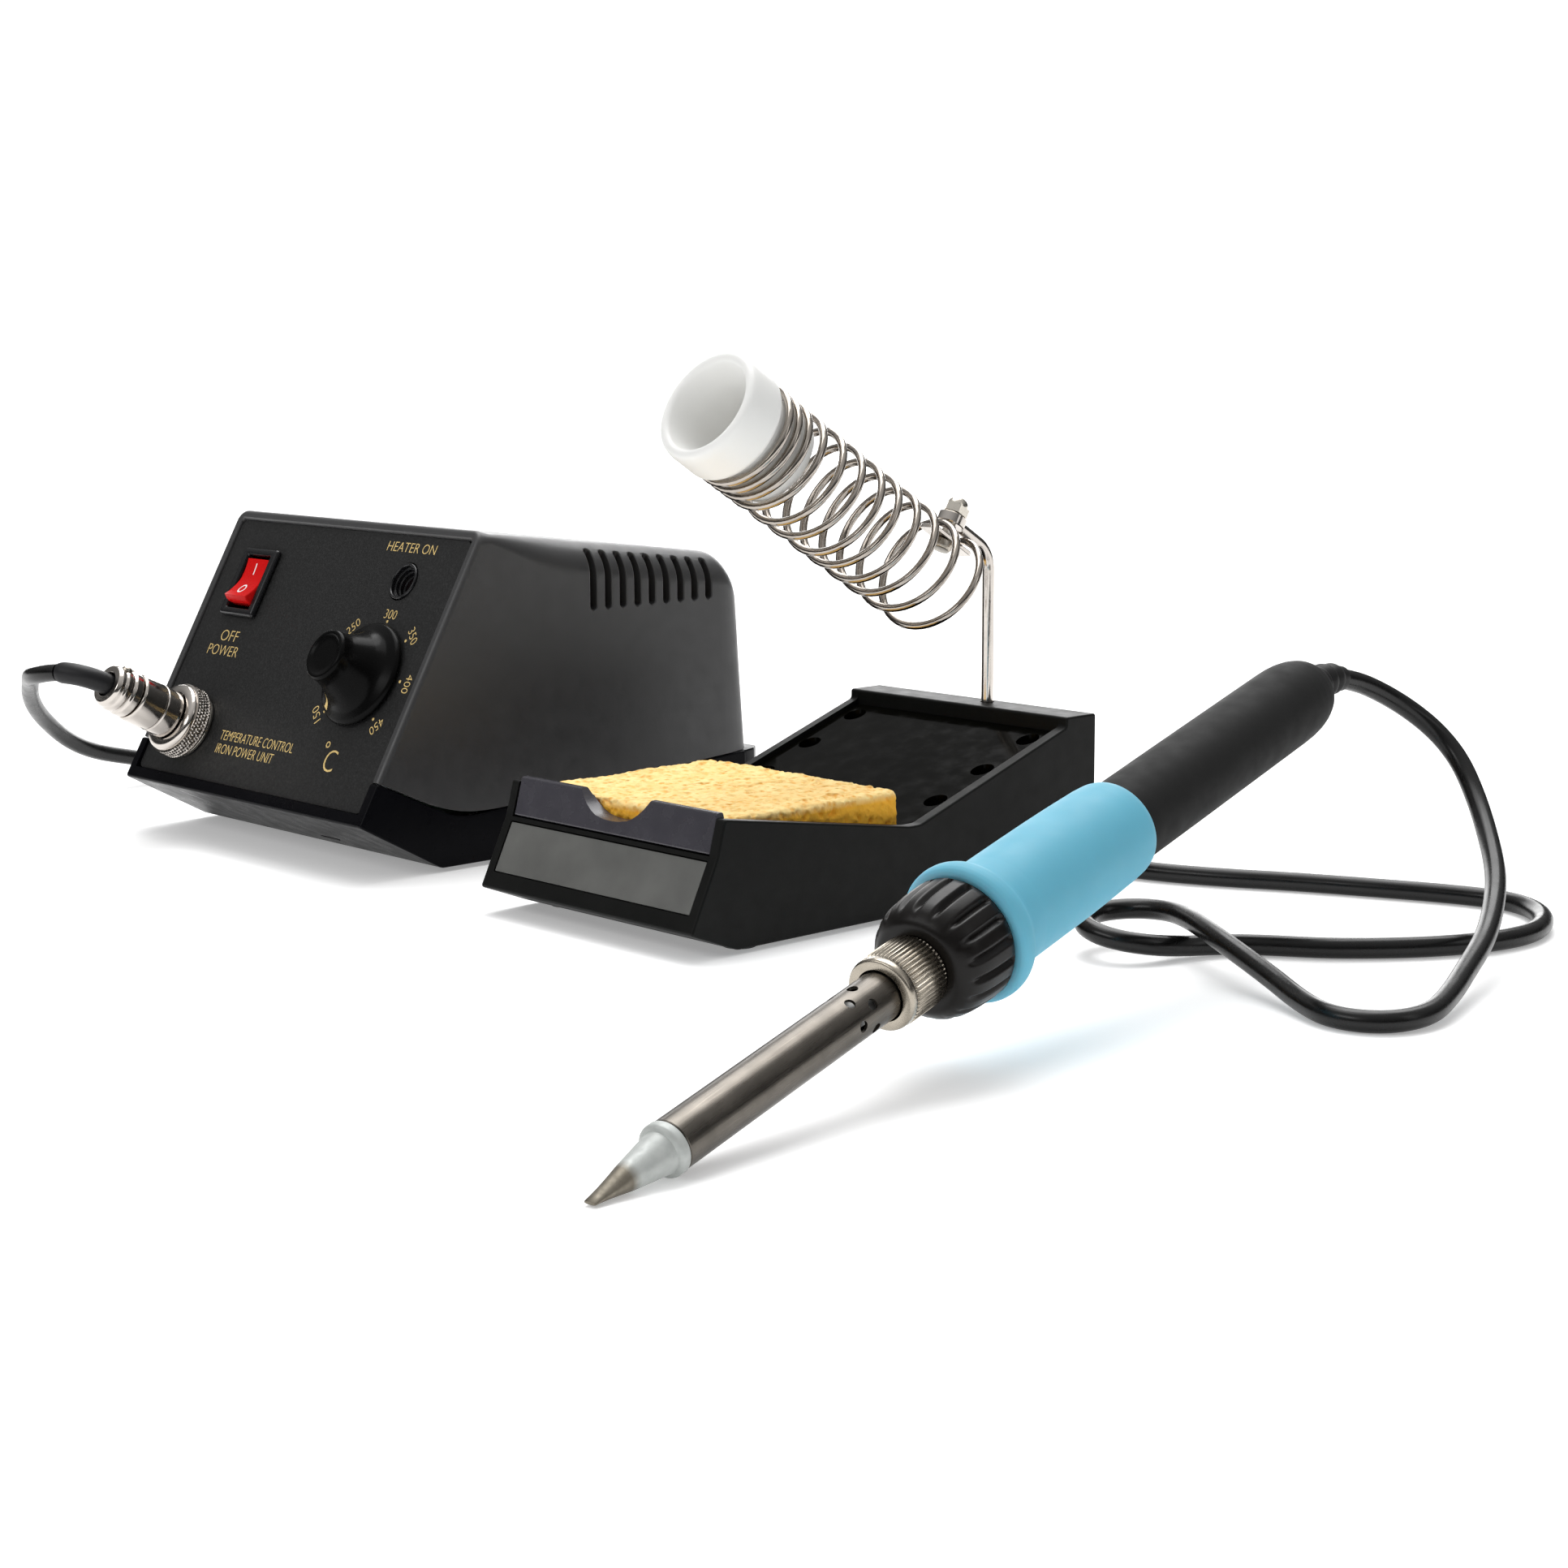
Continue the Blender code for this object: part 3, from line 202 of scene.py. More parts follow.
# ---------------------------------------------------------------- materials
class Shade:
    """A small builder of node materials."""

    def __init__(self, name, colour, roughness=0.5, metallic=0.0):
        self.mat = bpy.data.materials.new(name)
        self.mat.use_nodes = True
        self.tree = self.mat.node_tree
        self.shader = self.tree.nodes["Principled BSDF"]
        self.colour = (*colour, 1.0)
        self.roughness = roughness
        self.shader.inputs["Base Color"].default_value = self.colour
        self.shader.inputs["Roughness"].default_value = roughness
        self.shader.inputs["Metallic"].default_value = metallic
        self.coords = self.tree.nodes.new("ShaderNodeTexCoord").outputs["Object"]
        self.height = None
        self.tint = None

    def node(self, kind, **values):
        made = self.tree.nodes.new(kind)
        for key, value in values.items():
            made.inputs[key].default_value = value
        return made

    def link(self, a, b):
        self.tree.links.new(a, b)

    def stretched(self, scale):
        mapping = self.tree.nodes.new("ShaderNodeMapping")
        mapping.inputs["Scale"].default_value = scale
        self.link(self.coords, mapping.inputs["Vector"])
        return mapping.outputs["Vector"]

    def noise(self, grain_mm, detail=3.0, vector=None):
        made = self.node("ShaderNodeTexNoise", Scale=1000.0 / grain_mm, Detail=detail)
        self.link(vector or self.coords, made.inputs["Vector"])
        return made.outputs["Fac"]

    def cells(self, size_mm, vector=None):
        made = self.node("ShaderNodeTexVoronoi", Scale=1000.0 / size_mm)
        self.link(vector or self.coords, made.inputs["Vector"])
        return made.outputs["Distance"]

    def ramp(self, value, low, high, out_low=0.0, out_high=1.0):
        made = self.node("ShaderNodeMapRange")
        made.inputs["From Min"].default_value = low
        made.inputs["From Max"].default_value = high
        made.inputs["To Min"].default_value = out_low
        made.inputs["To Max"].default_value = out_high
        self.link(value, made.inputs["Value"])
        return made.outputs["Result"]

    def paint(self, value, low_colour, high_colour):
        mix = self.tree.nodes.new("ShaderNodeMix")
        mix.data_type = "RGBA"
        mix.inputs["A"].default_value = (*low_colour, 1.0)
        mix.inputs["B"].default_value = (*high_colour, 1.0)
        self.link(value, mix.inputs["Factor"])
        self.link(mix.outputs["Result"], self.shader.inputs["Base Color"])
        return self

    def gloss(self, value, low, high):
        self.link(self.ramp(value, 0.3, 0.7, low, high), self.shader.inputs["Roughness"])
        return self

    def bump(self, value, height_mm, strength=1.0):
        made = self.node("ShaderNodeBump", Strength=strength, Distance=height_mm * MM)
        self.link(value, made.inputs["Height"])
        if self.height is not None:
            self.link(self.height, made.inputs["Normal"])
        self.height = made.outputs["Normal"]
        self.link(self.height, self.shader.inputs["Normal"])
        return self


def shade_by(colour, factor):
    return tuple(min(1.0, c * factor) for c in colour)


def plastic(name, colour, roughness, grain_mm=0.35, grain=0.012, spread=0.12, coat=0.0, specular=0.5):
    s = Shade(name, colour, roughness)
    s.bump(s.noise(grain_mm, 2.0), grain, 0.6)
    if roughness > 0.3:
        s.bump(s.noise(9.0, 2.0), 0.02, 0.25)
    s.shader.inputs["Specular IOR Level"].default_value = specular
    s.paint(s.ramp(s.noise(14.0, 4.0), 0.3, 0.7), shade_by(colour, 1.0 - spread), shade_by(colour, 1.0 + spread))
    s.gloss(s.noise(5.0, 4.0), roughness - 0.05, roughness + 0.06)
    s.shader.inputs["Coat Weight"].default_value = coat
    s.shader.inputs["Coat Roughness"].default_value = 0.08
    return s.mat


def metal(name, colour, roughness, along=(1.0, 1.0, 1.0), grain_mm=0.25, grain=0.002, spread=0.12):
    s = Shade(name, colour, roughness, 1.0)
    lines = s.noise(grain_mm, 3.0, s.stretched(along))
    s.bump(lines, grain, 0.5)
    s.paint(s.ramp(s.noise(6.0, 4.0), 0.3, 0.7), shade_by(colour, 1.0 - spread), shade_by(colour, 1.0 + spread * 0.5))
    s.gloss(lines, max(0.03, roughness - 0.05), roughness + 0.07)
    return s.mat


def sponge_material():
    s = Shade("sponge_foam", (0.93, 0.70, 0.30), 0.95)
    big = s.cells(2.2)
    fine = s.cells(0.8)
    pores = s.ramp(big, 0.05, 0.45)
    s.bump(pores, 0.5, 0.7)
    s.bump(fine, 0.18, 0.6)
    blotch = s.noise(5.0, 4.0)
    # Painted shade: the colour goes deeper orange down into the pits of the pore bump; the noise blotches on top of
    # that are random tone.
    mix = s.node("ShaderNodeMath")
    mix.operation = "MULTIPLY"
    s.link(pores, mix.inputs[0])
    s.link(s.ramp(blotch, 0.3, 0.65, 0.55, 1.0), mix.inputs[1])
    s.paint(mix.outputs["Value"], (0.84, 0.42, 0.07), (0.98, 0.74, 0.33))
    # Painted light: below the top rim the sides take one deeper orange while the top keeps the paler mottled colour,
    # a painted highlight on the top and painted shade on the sides.
    parts = s.tree.nodes.new("ShaderNodeSeparateXYZ")
    s.link(s.coords, parts.inputs["Vector"])
    lit_top_shaded_sides = s.tree.nodes.new("ShaderNodeMix")
    lit_top_shaded_sides.data_type = "RGBA"
    s.link(s.ramp(parts.outputs["Z"], 0.0295, 0.0312), lit_top_shaded_sides.inputs["Factor"])
    s.link(s.shader.inputs["Base Color"].links[0].from_socket, lit_top_shaded_sides.inputs["B"])
    lit_top_shaded_sides.inputs["A"].default_value = (1.0, 0.50, 0.04, 1.0)
    s.link(lit_top_shaded_sides.outputs["Result"], s.shader.inputs["Base Color"])
    s.shader.inputs["Subsurface Weight"].default_value = 0.15
    s.shader.inputs["Subsurface Scale"].default_value = 0.002
    s.shader.inputs["Subsurface Radius"].default_value = (1.0, 0.6, 0.25)
    return s.mat


def panel_material():
    s = Shade("panel_texture", (0.008, 0.008, 0.008), 0.5)
    grain = s.noise(0.55, 3.0)
    s.bump(grain, 0.03, 0.55)
    s.paint(s.ramp(grain, 0.45, 0.75), (0.008, 0.008, 0.008), (0.022, 0.022, 0.022))
    s.gloss(s.noise(1.2, 3.0), 0.42, 0.58)
    s.shader.inputs["Specular IOR Level"].default_value = 0.3
    return s.mat


def tip_material():
    s = Shade("tip_plating", (0.42, 0.43, 0.42), 0.45, 0.7)
    along = s.tree.nodes.new("ShaderNodeSeparateXYZ")
    s.link(s.coords, along.inputs["Vector"])
    near = s.ramp(along.outputs["Z"], 0.0088, 0.0108)
    mix = s.tree.nodes.new("ShaderNodeMix")
    mix.data_type = "RGBA"
    patches = s.node("ShaderNodeTexNoise", Scale=600.0, Detail=5.0)
    s.link(s.coords, patches.inputs["Vector"])
    dark = s.tree.nodes.new("ShaderNodeMix")
    dark.data_type = "RGBA"
    dark.inputs["A"].default_value = (0.13, 0.115, 0.09, 1.0)
    dark.inputs["B"].default_value = (0.26, 0.235, 0.19, 1.0)
    s.link(patches.outputs["Fac"], dark.inputs["Factor"])
    pale = s.tree.nodes.new("ShaderNodeMix")
    pale.data_type = "RGBA"
    pale.inputs["A"].default_value = (0.36, 0.38, 0.37, 1.0)
    pale.inputs["B"].default_value = (0.52, 0.54, 0.52, 1.0)
    s.link(patches.outputs["Fac"], pale.inputs["Factor"])
    s.link(near, mix.inputs["Factor"])
    s.link(dark.outputs["Result"], mix.inputs["A"])
    s.link(pale.outputs["Result"], mix.inputs["B"])
    s.link(mix.outputs["Result"], s.shader.inputs["Base Color"])
    s.link(s.ramp(near, 0.0, 1.0, 0.9, 0.25), s.shader.inputs["Metallic"])
    s.bump(patches.outputs["Fac"], 0.04, 0.5)
    s.gloss(s.noise(1.0, 4.0), 0.38, 0.6)
    return s.mat


MATS = {}


def make_materials():
    MATS["cover"] = plastic("cover_grey", (0.030, 0.030, 0.031), 0.4, 0.45, 0.02, 0.05, specular=0.55)
    shell = MATS["cover"].node_tree.nodes["Principled BSDF"]
    shell.inputs["Sheen Weight"].default_value = 0.3
    shell.inputs["Sheen Roughness"].default_value = 0.3
    MATS["base"] = plastic("base_gloss", (0.003, 0.003, 0.004), 0.3, 0.9, 0.004, 0.1, specular=0.05)
    MATS["panel"] = panel_material()
    MATS["satin"] = plastic("black_satin", (0.008, 0.008, 0.009), 0.42, 0.5, 0.018, 0.12, specular=0.2)
    MATS["stand"] = plastic("stand_black", (0.0042, 0.0044, 0.004), 0.45, 0.6, 0.03, 0.14, specular=0.12)
    MATS["knob"] = plastic("knob_gloss", (0.0025, 0.0025, 0.0025), 0.24, 1.2, 0.002, 0.1, specular=0.06)
    MATS["red"] = plastic("rocker_red", (0.60, 0.008, 0.008), 0.28, 1.5, 0.004, 0.1, specular=0.05)
    MATS["lamp"] = plastic("lamp_red", (0.16, 0.004, 0.004), 0.1, 2.0, 0.002, 0.1, coat=0.6)
    MATS["gold"] = plastic("print_gold", (0.72, 0.52, 0.20), 0.5, 0.3, 0.004, 0.08)
    MATS["white"] = plastic("print_white", (0.85, 0.85, 0.85), 0.5, 0.3, 0.004, 0.03)
    MATS["chrome"] = metal("polished_chrome", (0.56, 0.52, 0.48), 0.14, (1, 1, 1), 1.5, 0.001, 0.06)
    MATS["nickel"] = metal("nickel", (0.66, 0.62, 0.55), 0.2, (1, 1, 0.1), 0.3, 0.004, 0.12)
    MATS["steel"] = metal("brushed_steel", (0.47, 0.43, 0.37), 0.3, (1, 1, 0.05), 0.3, 0.006, 0.2)
    MATS["barrel"] = metal("barrel_steel", (0.125, 0.113, 0.098), 0.3, (1, 1, 0.04), 0.25, 0.008, 0.2)
    MATS["tip"] = tip_material()
    MATS["rubber"] = plastic("rubber_black", (0.007, 0.007, 0.007), 0.5, 0.4, 0.03, 0.15, specular=0.25)
    MATS["cord"] = plastic("cord_jacket", (0.004, 0.004, 0.004), 0.27, 0.9, 0.006, 0.12, specular=0.3)
    MATS["sleeve"] = plastic("sleeve_tube", (0.008, 0.008, 0.009), 0.45, 0.8, 0.05, 0.15, specular=0.25)
    MATS["grip"] = plastic("grip_blue", (0.125, 0.42, 0.56), 0.55, 0.5, 0.012, 0.03, specular=0.25)
    MATS["grip"].node_tree.nodes["Principled BSDF"].inputs["Subsurface Weight"].default_value = 0.08
    MATS["handle"] = plastic("handle_black", (0.016, 0.016, 0.016), 0.62, 0.4, 0.02, 0.06, specular=0.1)
    MATS["cap"] = plastic("cap_black", (0.005, 0.004, 0.0035), 0.33, 0.8, 0.02, 0.25, specular=0.2)
    MATS["ceramic"] = plastic("white_ceramic", (0.83, 0.83, 0.81), 0.42, 0.6, 0.02, 0.015)
    MATS["sponge"] = sponge_material()
    MATS["plate"] = plastic("plate_satin", (0.105, 0.106, 0.100), 0.4, 6.0, 0.05, 0.16, specular=0.4)
    MATS["switch"] = plastic("switch_gloss", (0.007, 0.007, 0.008), 0.22, 1.0, 0.004, 0.1, specular=0.35)
    MATS["ramp"] = plastic("ramp_mirror", (0.0015, 0.0015, 0.001), 0.1, 0.8, 0.0004, 0.1, specular=0.03)
    MATS["coil"] = metal("coil_chrome", (0.40, 0.36, 0.32), 0.1, (1, 1, 1), 2.0, 0.001, 0.1)
    MATS["nut"] = metal("nut_nickel", (0.40, 0.36, 0.30), 0.26, (1, 1, 0.2), 0.3, 0.004, 0.15)
    MATS["tray"] = plastic("tray_gloss", (0.046, 0.044, 0.053), 0.25, 1.4, 0.004, 0.1, specular=0.4)
    MATS["copper"] = metal("copper_wire", (0.66, 0.28, 0.13), 0.32, (0.1, 0.1, 1), 0.4, 0.08, 0.15)
    MATS["board"] = plastic("board_green", (0.02, 0.12, 0.045), 0.4, 0.7, 0.01, 0.2)


# ---------------------------------------------------------------- mesh building
def piece(name, verts, faces, where, mat, body, nodes=(), sharp=35.0):
    mesh = bpy.data.meshes.new(name)
    mesh.from_pydata([[c * MM for c in v] for v in verts], [], faces)
    work = bmesh.new()
    work.from_mesh(mesh)
    bmesh.ops.remove_doubles(work, verts=work.verts, dist=0.0000005)
    bmesh.ops.recalc_face_normals(work, faces=work.faces)
    work.to_mesh(mesh)
    work.free()
    obj = bpy.data.objects.new(name, mesh)
    bpy.context.scene.collection.objects.link(obj)
    obj.matrix_world = where
    if mat:
        mesh.materials.append(MATS[mat])
    for polygon in mesh.polygons:
        polygon.use_smooth = True
    mesh.set_sharp_from_angle(angle=math.radians(sharp))
    if body:
        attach(obj, body)
        if nodes:
            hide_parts(*nodes)
    return obj


def strip_faces(rows, count, closed_rows=False):
    faces = []
    for k in range(rows if closed_rows else rows - 1):
        m = (k + 1) % rows
        for i in range(count):
            j = (i + 1) % count
            faces.append((k * count + i, k * count + j, m * count + j, m * count + i))
    return faces


def loft(name, loops, where, mat, body=None, nodes=(), sharp=35.0):
    count = len(loops[0])
    verts = [v for loop in loops for v in loop]
    faces = strip_faces(len(loops), count)
    faces.append(tuple(reversed(range(count))))
    last = (len(loops) - 1) * count
    faces.append(tuple(range(last, last + count)))
    return piece(name, verts, faces, where, mat, body, nodes, sharp)


def prism(name, outline, low, high, where, mat, body=None, nodes=(), sharp=35.0):
    loops = [[(x, y, z) for x, y in outline] for z in (low, high)]
    return loft(name, loops, where, mat, body, nodes, sharp)


def rounded(w, h, r, steps=6, cx=0.0, cy=0.0):
    points = []
    for quarter, (sx, sy) in enumerate(((1, 1), (-1, 1), (-1, -1), (1, -1))):
        for k in range(steps + 1):
            a = math.radians(90.0) * (quarter + k / steps)
            points.append((cx + sx * (w / 2 - r) + r * math.cos(a), cy + sy * (h / 2 - r) + r * math.sin(a)))
    return points


def lift(outline, z):
    return [(x, y, z) for x, y in outline]


def circle(r, count, cx=0.0, cy=0.0):
    step = 2 * math.pi / count
    return [(cx + r * math.cos(step * i), cy + r * math.sin(step * i)) for i in range(count)]


def soften(profile, r=0.25, steps=3):
    """The profile with its corners rounded by up to r millimetres, its ends kept."""
    out = [profile[0]]
    for a, b, c in zip(profile, profile[1:], profile[2:]):
        va = Vector((a[0] - b[0], a[1] - b[1]))
        vc = Vector((c[0] - b[0], c[1] - b[1]))
        cut_back = min(r, va.length * 0.45, vc.length * 0.45)
        p = Vector(b) + va.normalized() * cut_back
        q = Vector(b) + vc.normalized() * cut_back
        for k in range(steps + 1):
            f = k / steps
            spot = p * (1 - f) ** 2 + Vector(b) * 2 * f * (1 - f) + q * f ** 2
            out.append((spot.x, spot.y))
    out.append(profile[-1])
    return out


def turned(name, profile, count, where, mat, body=None, nodes=(), shape=None, sharp=35.0):
    """A lathe solid from (radius, height); open ends lie on the axis. shape(r, z, angle) bends the radius."""
    verts = []
    for r, z in profile:
        for i in range(count):
            a = 2 * math.pi * i / count
            rr = shape(r, z, a) if shape else r
            verts.append((rr * math.cos(a), rr * math.sin(a), z))
    faces = strip_faces(len(profile), count)
    return piece(name, verts, faces, where, mat, body, nodes, sharp)


def hollow(name, profile, count, where, mat, body=None, nodes=(), shape=None, sharp=35.0, r=0.25):
    """A lathe ring from a closed run of (radius, height) points."""
    run = soften([*profile, profile[0], profile[1]], r)[1:-1] if r else profile
    verts = []
    for rad, z in run:
        for i in range(count):
            a = 2 * math.pi * i / count
            rr = shape(rad, z, a) if shape else rad
            verts.append((rr * math.cos(a), rr * math.sin(a), z))
    faces = strip_faces(len(run), count, closed_rows=True)
    return piece(name, verts, faces, where, mat, body, nodes, sharp)


def sweep(name, path, radii, count, where, mat, body=None, nodes=()):
    points = [Vector(p) for p in path]
    side = Vector((1.0, 0.0, 0.0))
    loops = []
    for i, here in enumerate(points):
        ahead = (points[min(i + 1, len(points) - 1)] - points[max(i - 1, 0)]).normalized()
        side = (side - ahead * side.dot(ahead)).normalized()
        other = ahead.cross(side)
        loop = []
        for k in range(count):
            a = 2 * math.pi * k / count
            loop.append(tuple(here + side * (radii[i] * math.cos(a)) + other * (radii[i] * math.sin(a))))
        loops.append(loop)
    return loft(name, loops, where, mat, body, nodes, sharp=50.0)


def combine(obj, operation, tools):
    for tool in tools:
        change = obj.modifiers.new(tool.name, "BOOLEAN")
        change.operation = operation
        change.solver = "EXACT"
        change.object = tool
    apply_all(obj)
    for tool in tools:
        bpy.data.objects.remove(tool, do_unlink=True)
    return obj


def cut(obj, *tools):
    return combine(obj, "DIFFERENCE", tools)


def union(obj, *tools):
    return combine(obj, "UNION", tools)


def apply_all(obj):
    bpy.context.view_layer.update()
    graph = bpy.context.evaluated_depsgraph_get()
    mesh = bpy.data.meshes.new_from_object(obj.evaluated_get(graph), depsgraph=graph)
    obj.modifiers.clear()
    obj.data = mesh


def bevel(obj, width_mm, segments=3, angle=35.0):
    change = obj.modifiers.new("edge", "BEVEL")
    change.width = width_mm * MM
    change.segments = segments
    change.limit_method = "ANGLE"
    change.angle_limit = math.radians(angle)
    change.miter_outer = "MITER_ARC"
    apply_all(obj)
    return smooth_again(obj, 40.0)


def hold(obj, body, *nodes):
    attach(obj, body)
    if nodes:
        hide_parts(*nodes)
    return obj


def paint_node(node, mat):
    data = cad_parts[node].data
    data.materials.clear()
    data.materials.append(MATS[mat])


def join(name, *tools):
    """One cutting mesh from several that don't touch each other."""
    verts = []
    faces = []
    for obj in tools:
        base = len(verts)
        verts += [[c / MM for c in obj.matrix_world @ v.co] for v in obj.data.vertices]
        faces += [[base + i for i in polygon.vertices] for polygon in obj.data.polygons]
        bpy.data.objects.remove(obj, do_unlink=True)
    return piece(name, verts, faces, Matrix.Identity(4), None, None)


def inset(outline, d):
    """The outline moved inwards by d."""
    twice = sum(a[0] * b[1] - b[0] * a[1] for a, b in zip(outline, outline[1:] + outline[:1]))
    sign = 1.0 if twice > 0 else -1.0
    out = []
    for i, b in enumerate(outline):
        a = Vector(outline[i - 1])
        c = Vector(outline[(i + 1) % len(outline)])
        b = Vector(b)
        one = (b - a).normalized()
        two = (c - b).normalized()
        n1 = Vector((-one.y, one.x)) * sign
        n2 = Vector((-two.y, two.x)) * sign
        out.append(tuple(b + (n1 + n2) * d / (1.0 + n1.dot(n2))))
    return out


def round_corners(outline, r, steps=4):
    run = soften([outline[-1], *outline, outline[0]], r, steps)
    return run[1:-1]


def slab(name, outline, low, high, edge, where, mat, body=None, nodes=(), sharp=50.0):
    """A prism with rounded rims at both ends."""
    loops = []
    for end, way in ((low, 1.0), (high, -1.0)):
        rim = []
        for k in range(5):
            a = math.radians(22.5 * k)
            z = end + way * edge * (1.0 - math.cos(a))
            rim.append(lift(inset(outline, edge * (1.0 - math.sin(a))), z))
        loops += rim if way > 0 else rim[::-1]
    return loft(name, loops, where, mat, body, nodes, sharp)


def smooth_again(obj, sharp=35.0):
    """Smooth shading that keeps large faces flat beside small ones."""
    for polygon in obj.data.polygons:
        polygon.use_smooth = True
    obj.data.set_sharp_from_angle(angle=math.radians(sharp))
    even = obj.modifiers.new("even_normals", "WEIGHTED_NORMAL")
    even.weight = 100
    even.keep_sharp = True
    return obj


def shift_mesh(obj, move):
    """Moves each local vertex, in millimetres, by move(x, y, z)."""
    for v in obj.data.vertices:
        x, y, z = (c / MM for c in v.co)
        v.co = Vector(move(x, y, z)) * MM
    return obj


def smooth_path(points):
    pts = [Vector(p) for p in points]
    pts = [pts[0] * 2 - pts[1], *pts, pts[-1] * 2 - pts[-2]]
    fine = []
    for i in range(1, len(pts) - 2):
        a, b, c, d = pts[i - 1 : i + 3]
        t1 = math.sqrt((b - a).length)
        t2 = t1 + math.sqrt((c - b).length)
        t3 = t2 + math.sqrt((d - c).length)
        for k in range(12):
            t = t1 + (t2 - t1) * k / 12
            low = a * ((t1 - t) / t1) + b * (t / t1)
            mid = b * ((t2 - t) / (t2 - t1)) + c * ((t - t1) / (t2 - t1))
            top = c * ((t3 - t) / (t3 - t2)) + d * ((t - t2) / (t3 - t2))
            left = low * ((t2 - t) / t2) + mid * (t / t2)
            right = mid * ((t3 - t) / (t3 - t1)) + top * ((t - t1) / (t3 - t1))
            fine.append(left * ((t2 - t) / (t2 - t1)) + right * ((t - t1) / (t2 - t1)))
    fine.append(pts[-2])
    even = walk(fine, 1.5)
    for _ in range(10):
        inner = [(even[i - 1] + even[i] * 2 + even[i + 1]) / 4 for i in range(1, len(even) - 1)]
        even = [even[0], *inner, even[-1]]
    return even


def walk(points, step):
    out = [points[0]]
    left = step
    for a, b in zip(points, points[1:]):
        length = (b - a).length
        done = 0.0
        while length - done >= left:
            done += left
            out.append(a.lerp(b, done / length))
            left = step
        left -= length - done
    if (out[-1] - points[-1]).length > step * 0.3:
        out.append(points[-1])
    else:
        out[-1] = points[-1]
    return out


# ---------------------------------------------------------------- power unit
def shell_loop(low, high, side, r):
    points = []
    run = (high[0] - low[0], high[1] - low[1])
    length = math.hypot(*run)
    arch = [(UNIT_W - side, 0.0), (UNIT_W - side, (length - r) * 0.5)]
    for k in range(13):
        a = math.radians(7.5 * k)
        arch.append((UNIT_W - side - r + r * math.cos(a), length - r + r * math.sin(a)))
    for k in range(13):
        a = math.radians(90.0 + 7.5 * k)
        arch.append((side + r + r * math.cos(a), length - r + r * math.sin(a)))
    arch += [(side, (length - r) * 0.5), (side, 0.0)]
    for x, v in arch:
        f = v / length
        points.append((x, low[0] + run[0] * f, low[1] + run[1] * f))
    return points


def finer(rows, step=4.0, passes=6):
    """Section rows in even steps along their high points, eased, with both ends kept."""
    flat = [Vector((*low, *high, side, r)) for low, high, side, r in rows]
    out = [flat[0]]
    for a, b in zip(flat, flat[1:]):
        gap = math.hypot(b[2] - a[2], b[3] - a[3])
        count = max(1, round(gap / step))
        out += [a.lerp(b, (k + 1) / count) for k in range(count)]
    for _ in range(passes):
        inner = [(out[i - 1] + out[i] * 2 + out[i + 1]) / 4 for i in range(1, len(out) - 1)]
        out = [out[0], *inner, out[-1]]
    return [((v[0], v[1]), (v[2], v[3]), v[4], v[5]) for v in out]


COVER_ROWS = [
    ((13.6, 23.5), (46.1, 90.9), 0.0, 2.9), ((20.5, 20.0), (53.5, 90.2), 0.0, 4.8),
    ((28.5, 16.5), (60.0, 89.4), 0.0, 7.4), ((36.0, 14.8), (68.0, 88.4), 0.0, 9.4),
    ((60.0, 16.4), (86.0, 86.2), 0.0, 10.0), ((112.0, 20.0), (116.0, 82.6), 0.0, 10.0),
    ((130.0, 21.2), (126.8, 81.2), 0.0, 10.0),
]
COVER_TAIL = [
    ((133.0, 21.4), (128.8, 80.9), 0.15, 10.0), ((135.4, 21.6), (130.7, 80.3), 0.5, 10.0),
    ((137.6, 21.7), (132.7, 79.2), 1.1, 10.0), ((139.2, 21.8), (134.8, 77.3), 2.1, 9.6),
    ((140.2, 21.9), (136.6, 74.8), 3.5, 8.6), ((140.6, 21.9), (138.0, 71.4), 5.2, 7.4),
    ((140.7, 21.9), (138.6, 68.6), 6.6, 6.2),
]


def cover_shape():
    rim = []
    for k in range(5):
        a = math.radians(22.5 * k)
        back = 0.8 - 1.5 * (1.0 - math.cos(a))
        side = 1.5 * (1.0 - math.sin(a))
        rim.append((panel_yz(13.0, back), panel_yz(87.8 - side, back), side, 4.0 - side))
    return [*rim, *finer(COVER_ROWS), *COVER_TAIL]


def slot_outline(w, length):
    """Pairs of (distance, half width) down a round-ended slot."""
    rows = [(w - w * math.cos(math.radians(15.0 * k)), w * math.sin(math.radians(15.0 * k))) for k in range(7)]
    count = int((length - 2 * w) / 1.2)
    rows += [(w + (length - 2 * w) * k / count, w) for k in range(1, count)]
    rows += [(length - s, h) for s, h in rows[6::-1]]
    return rows


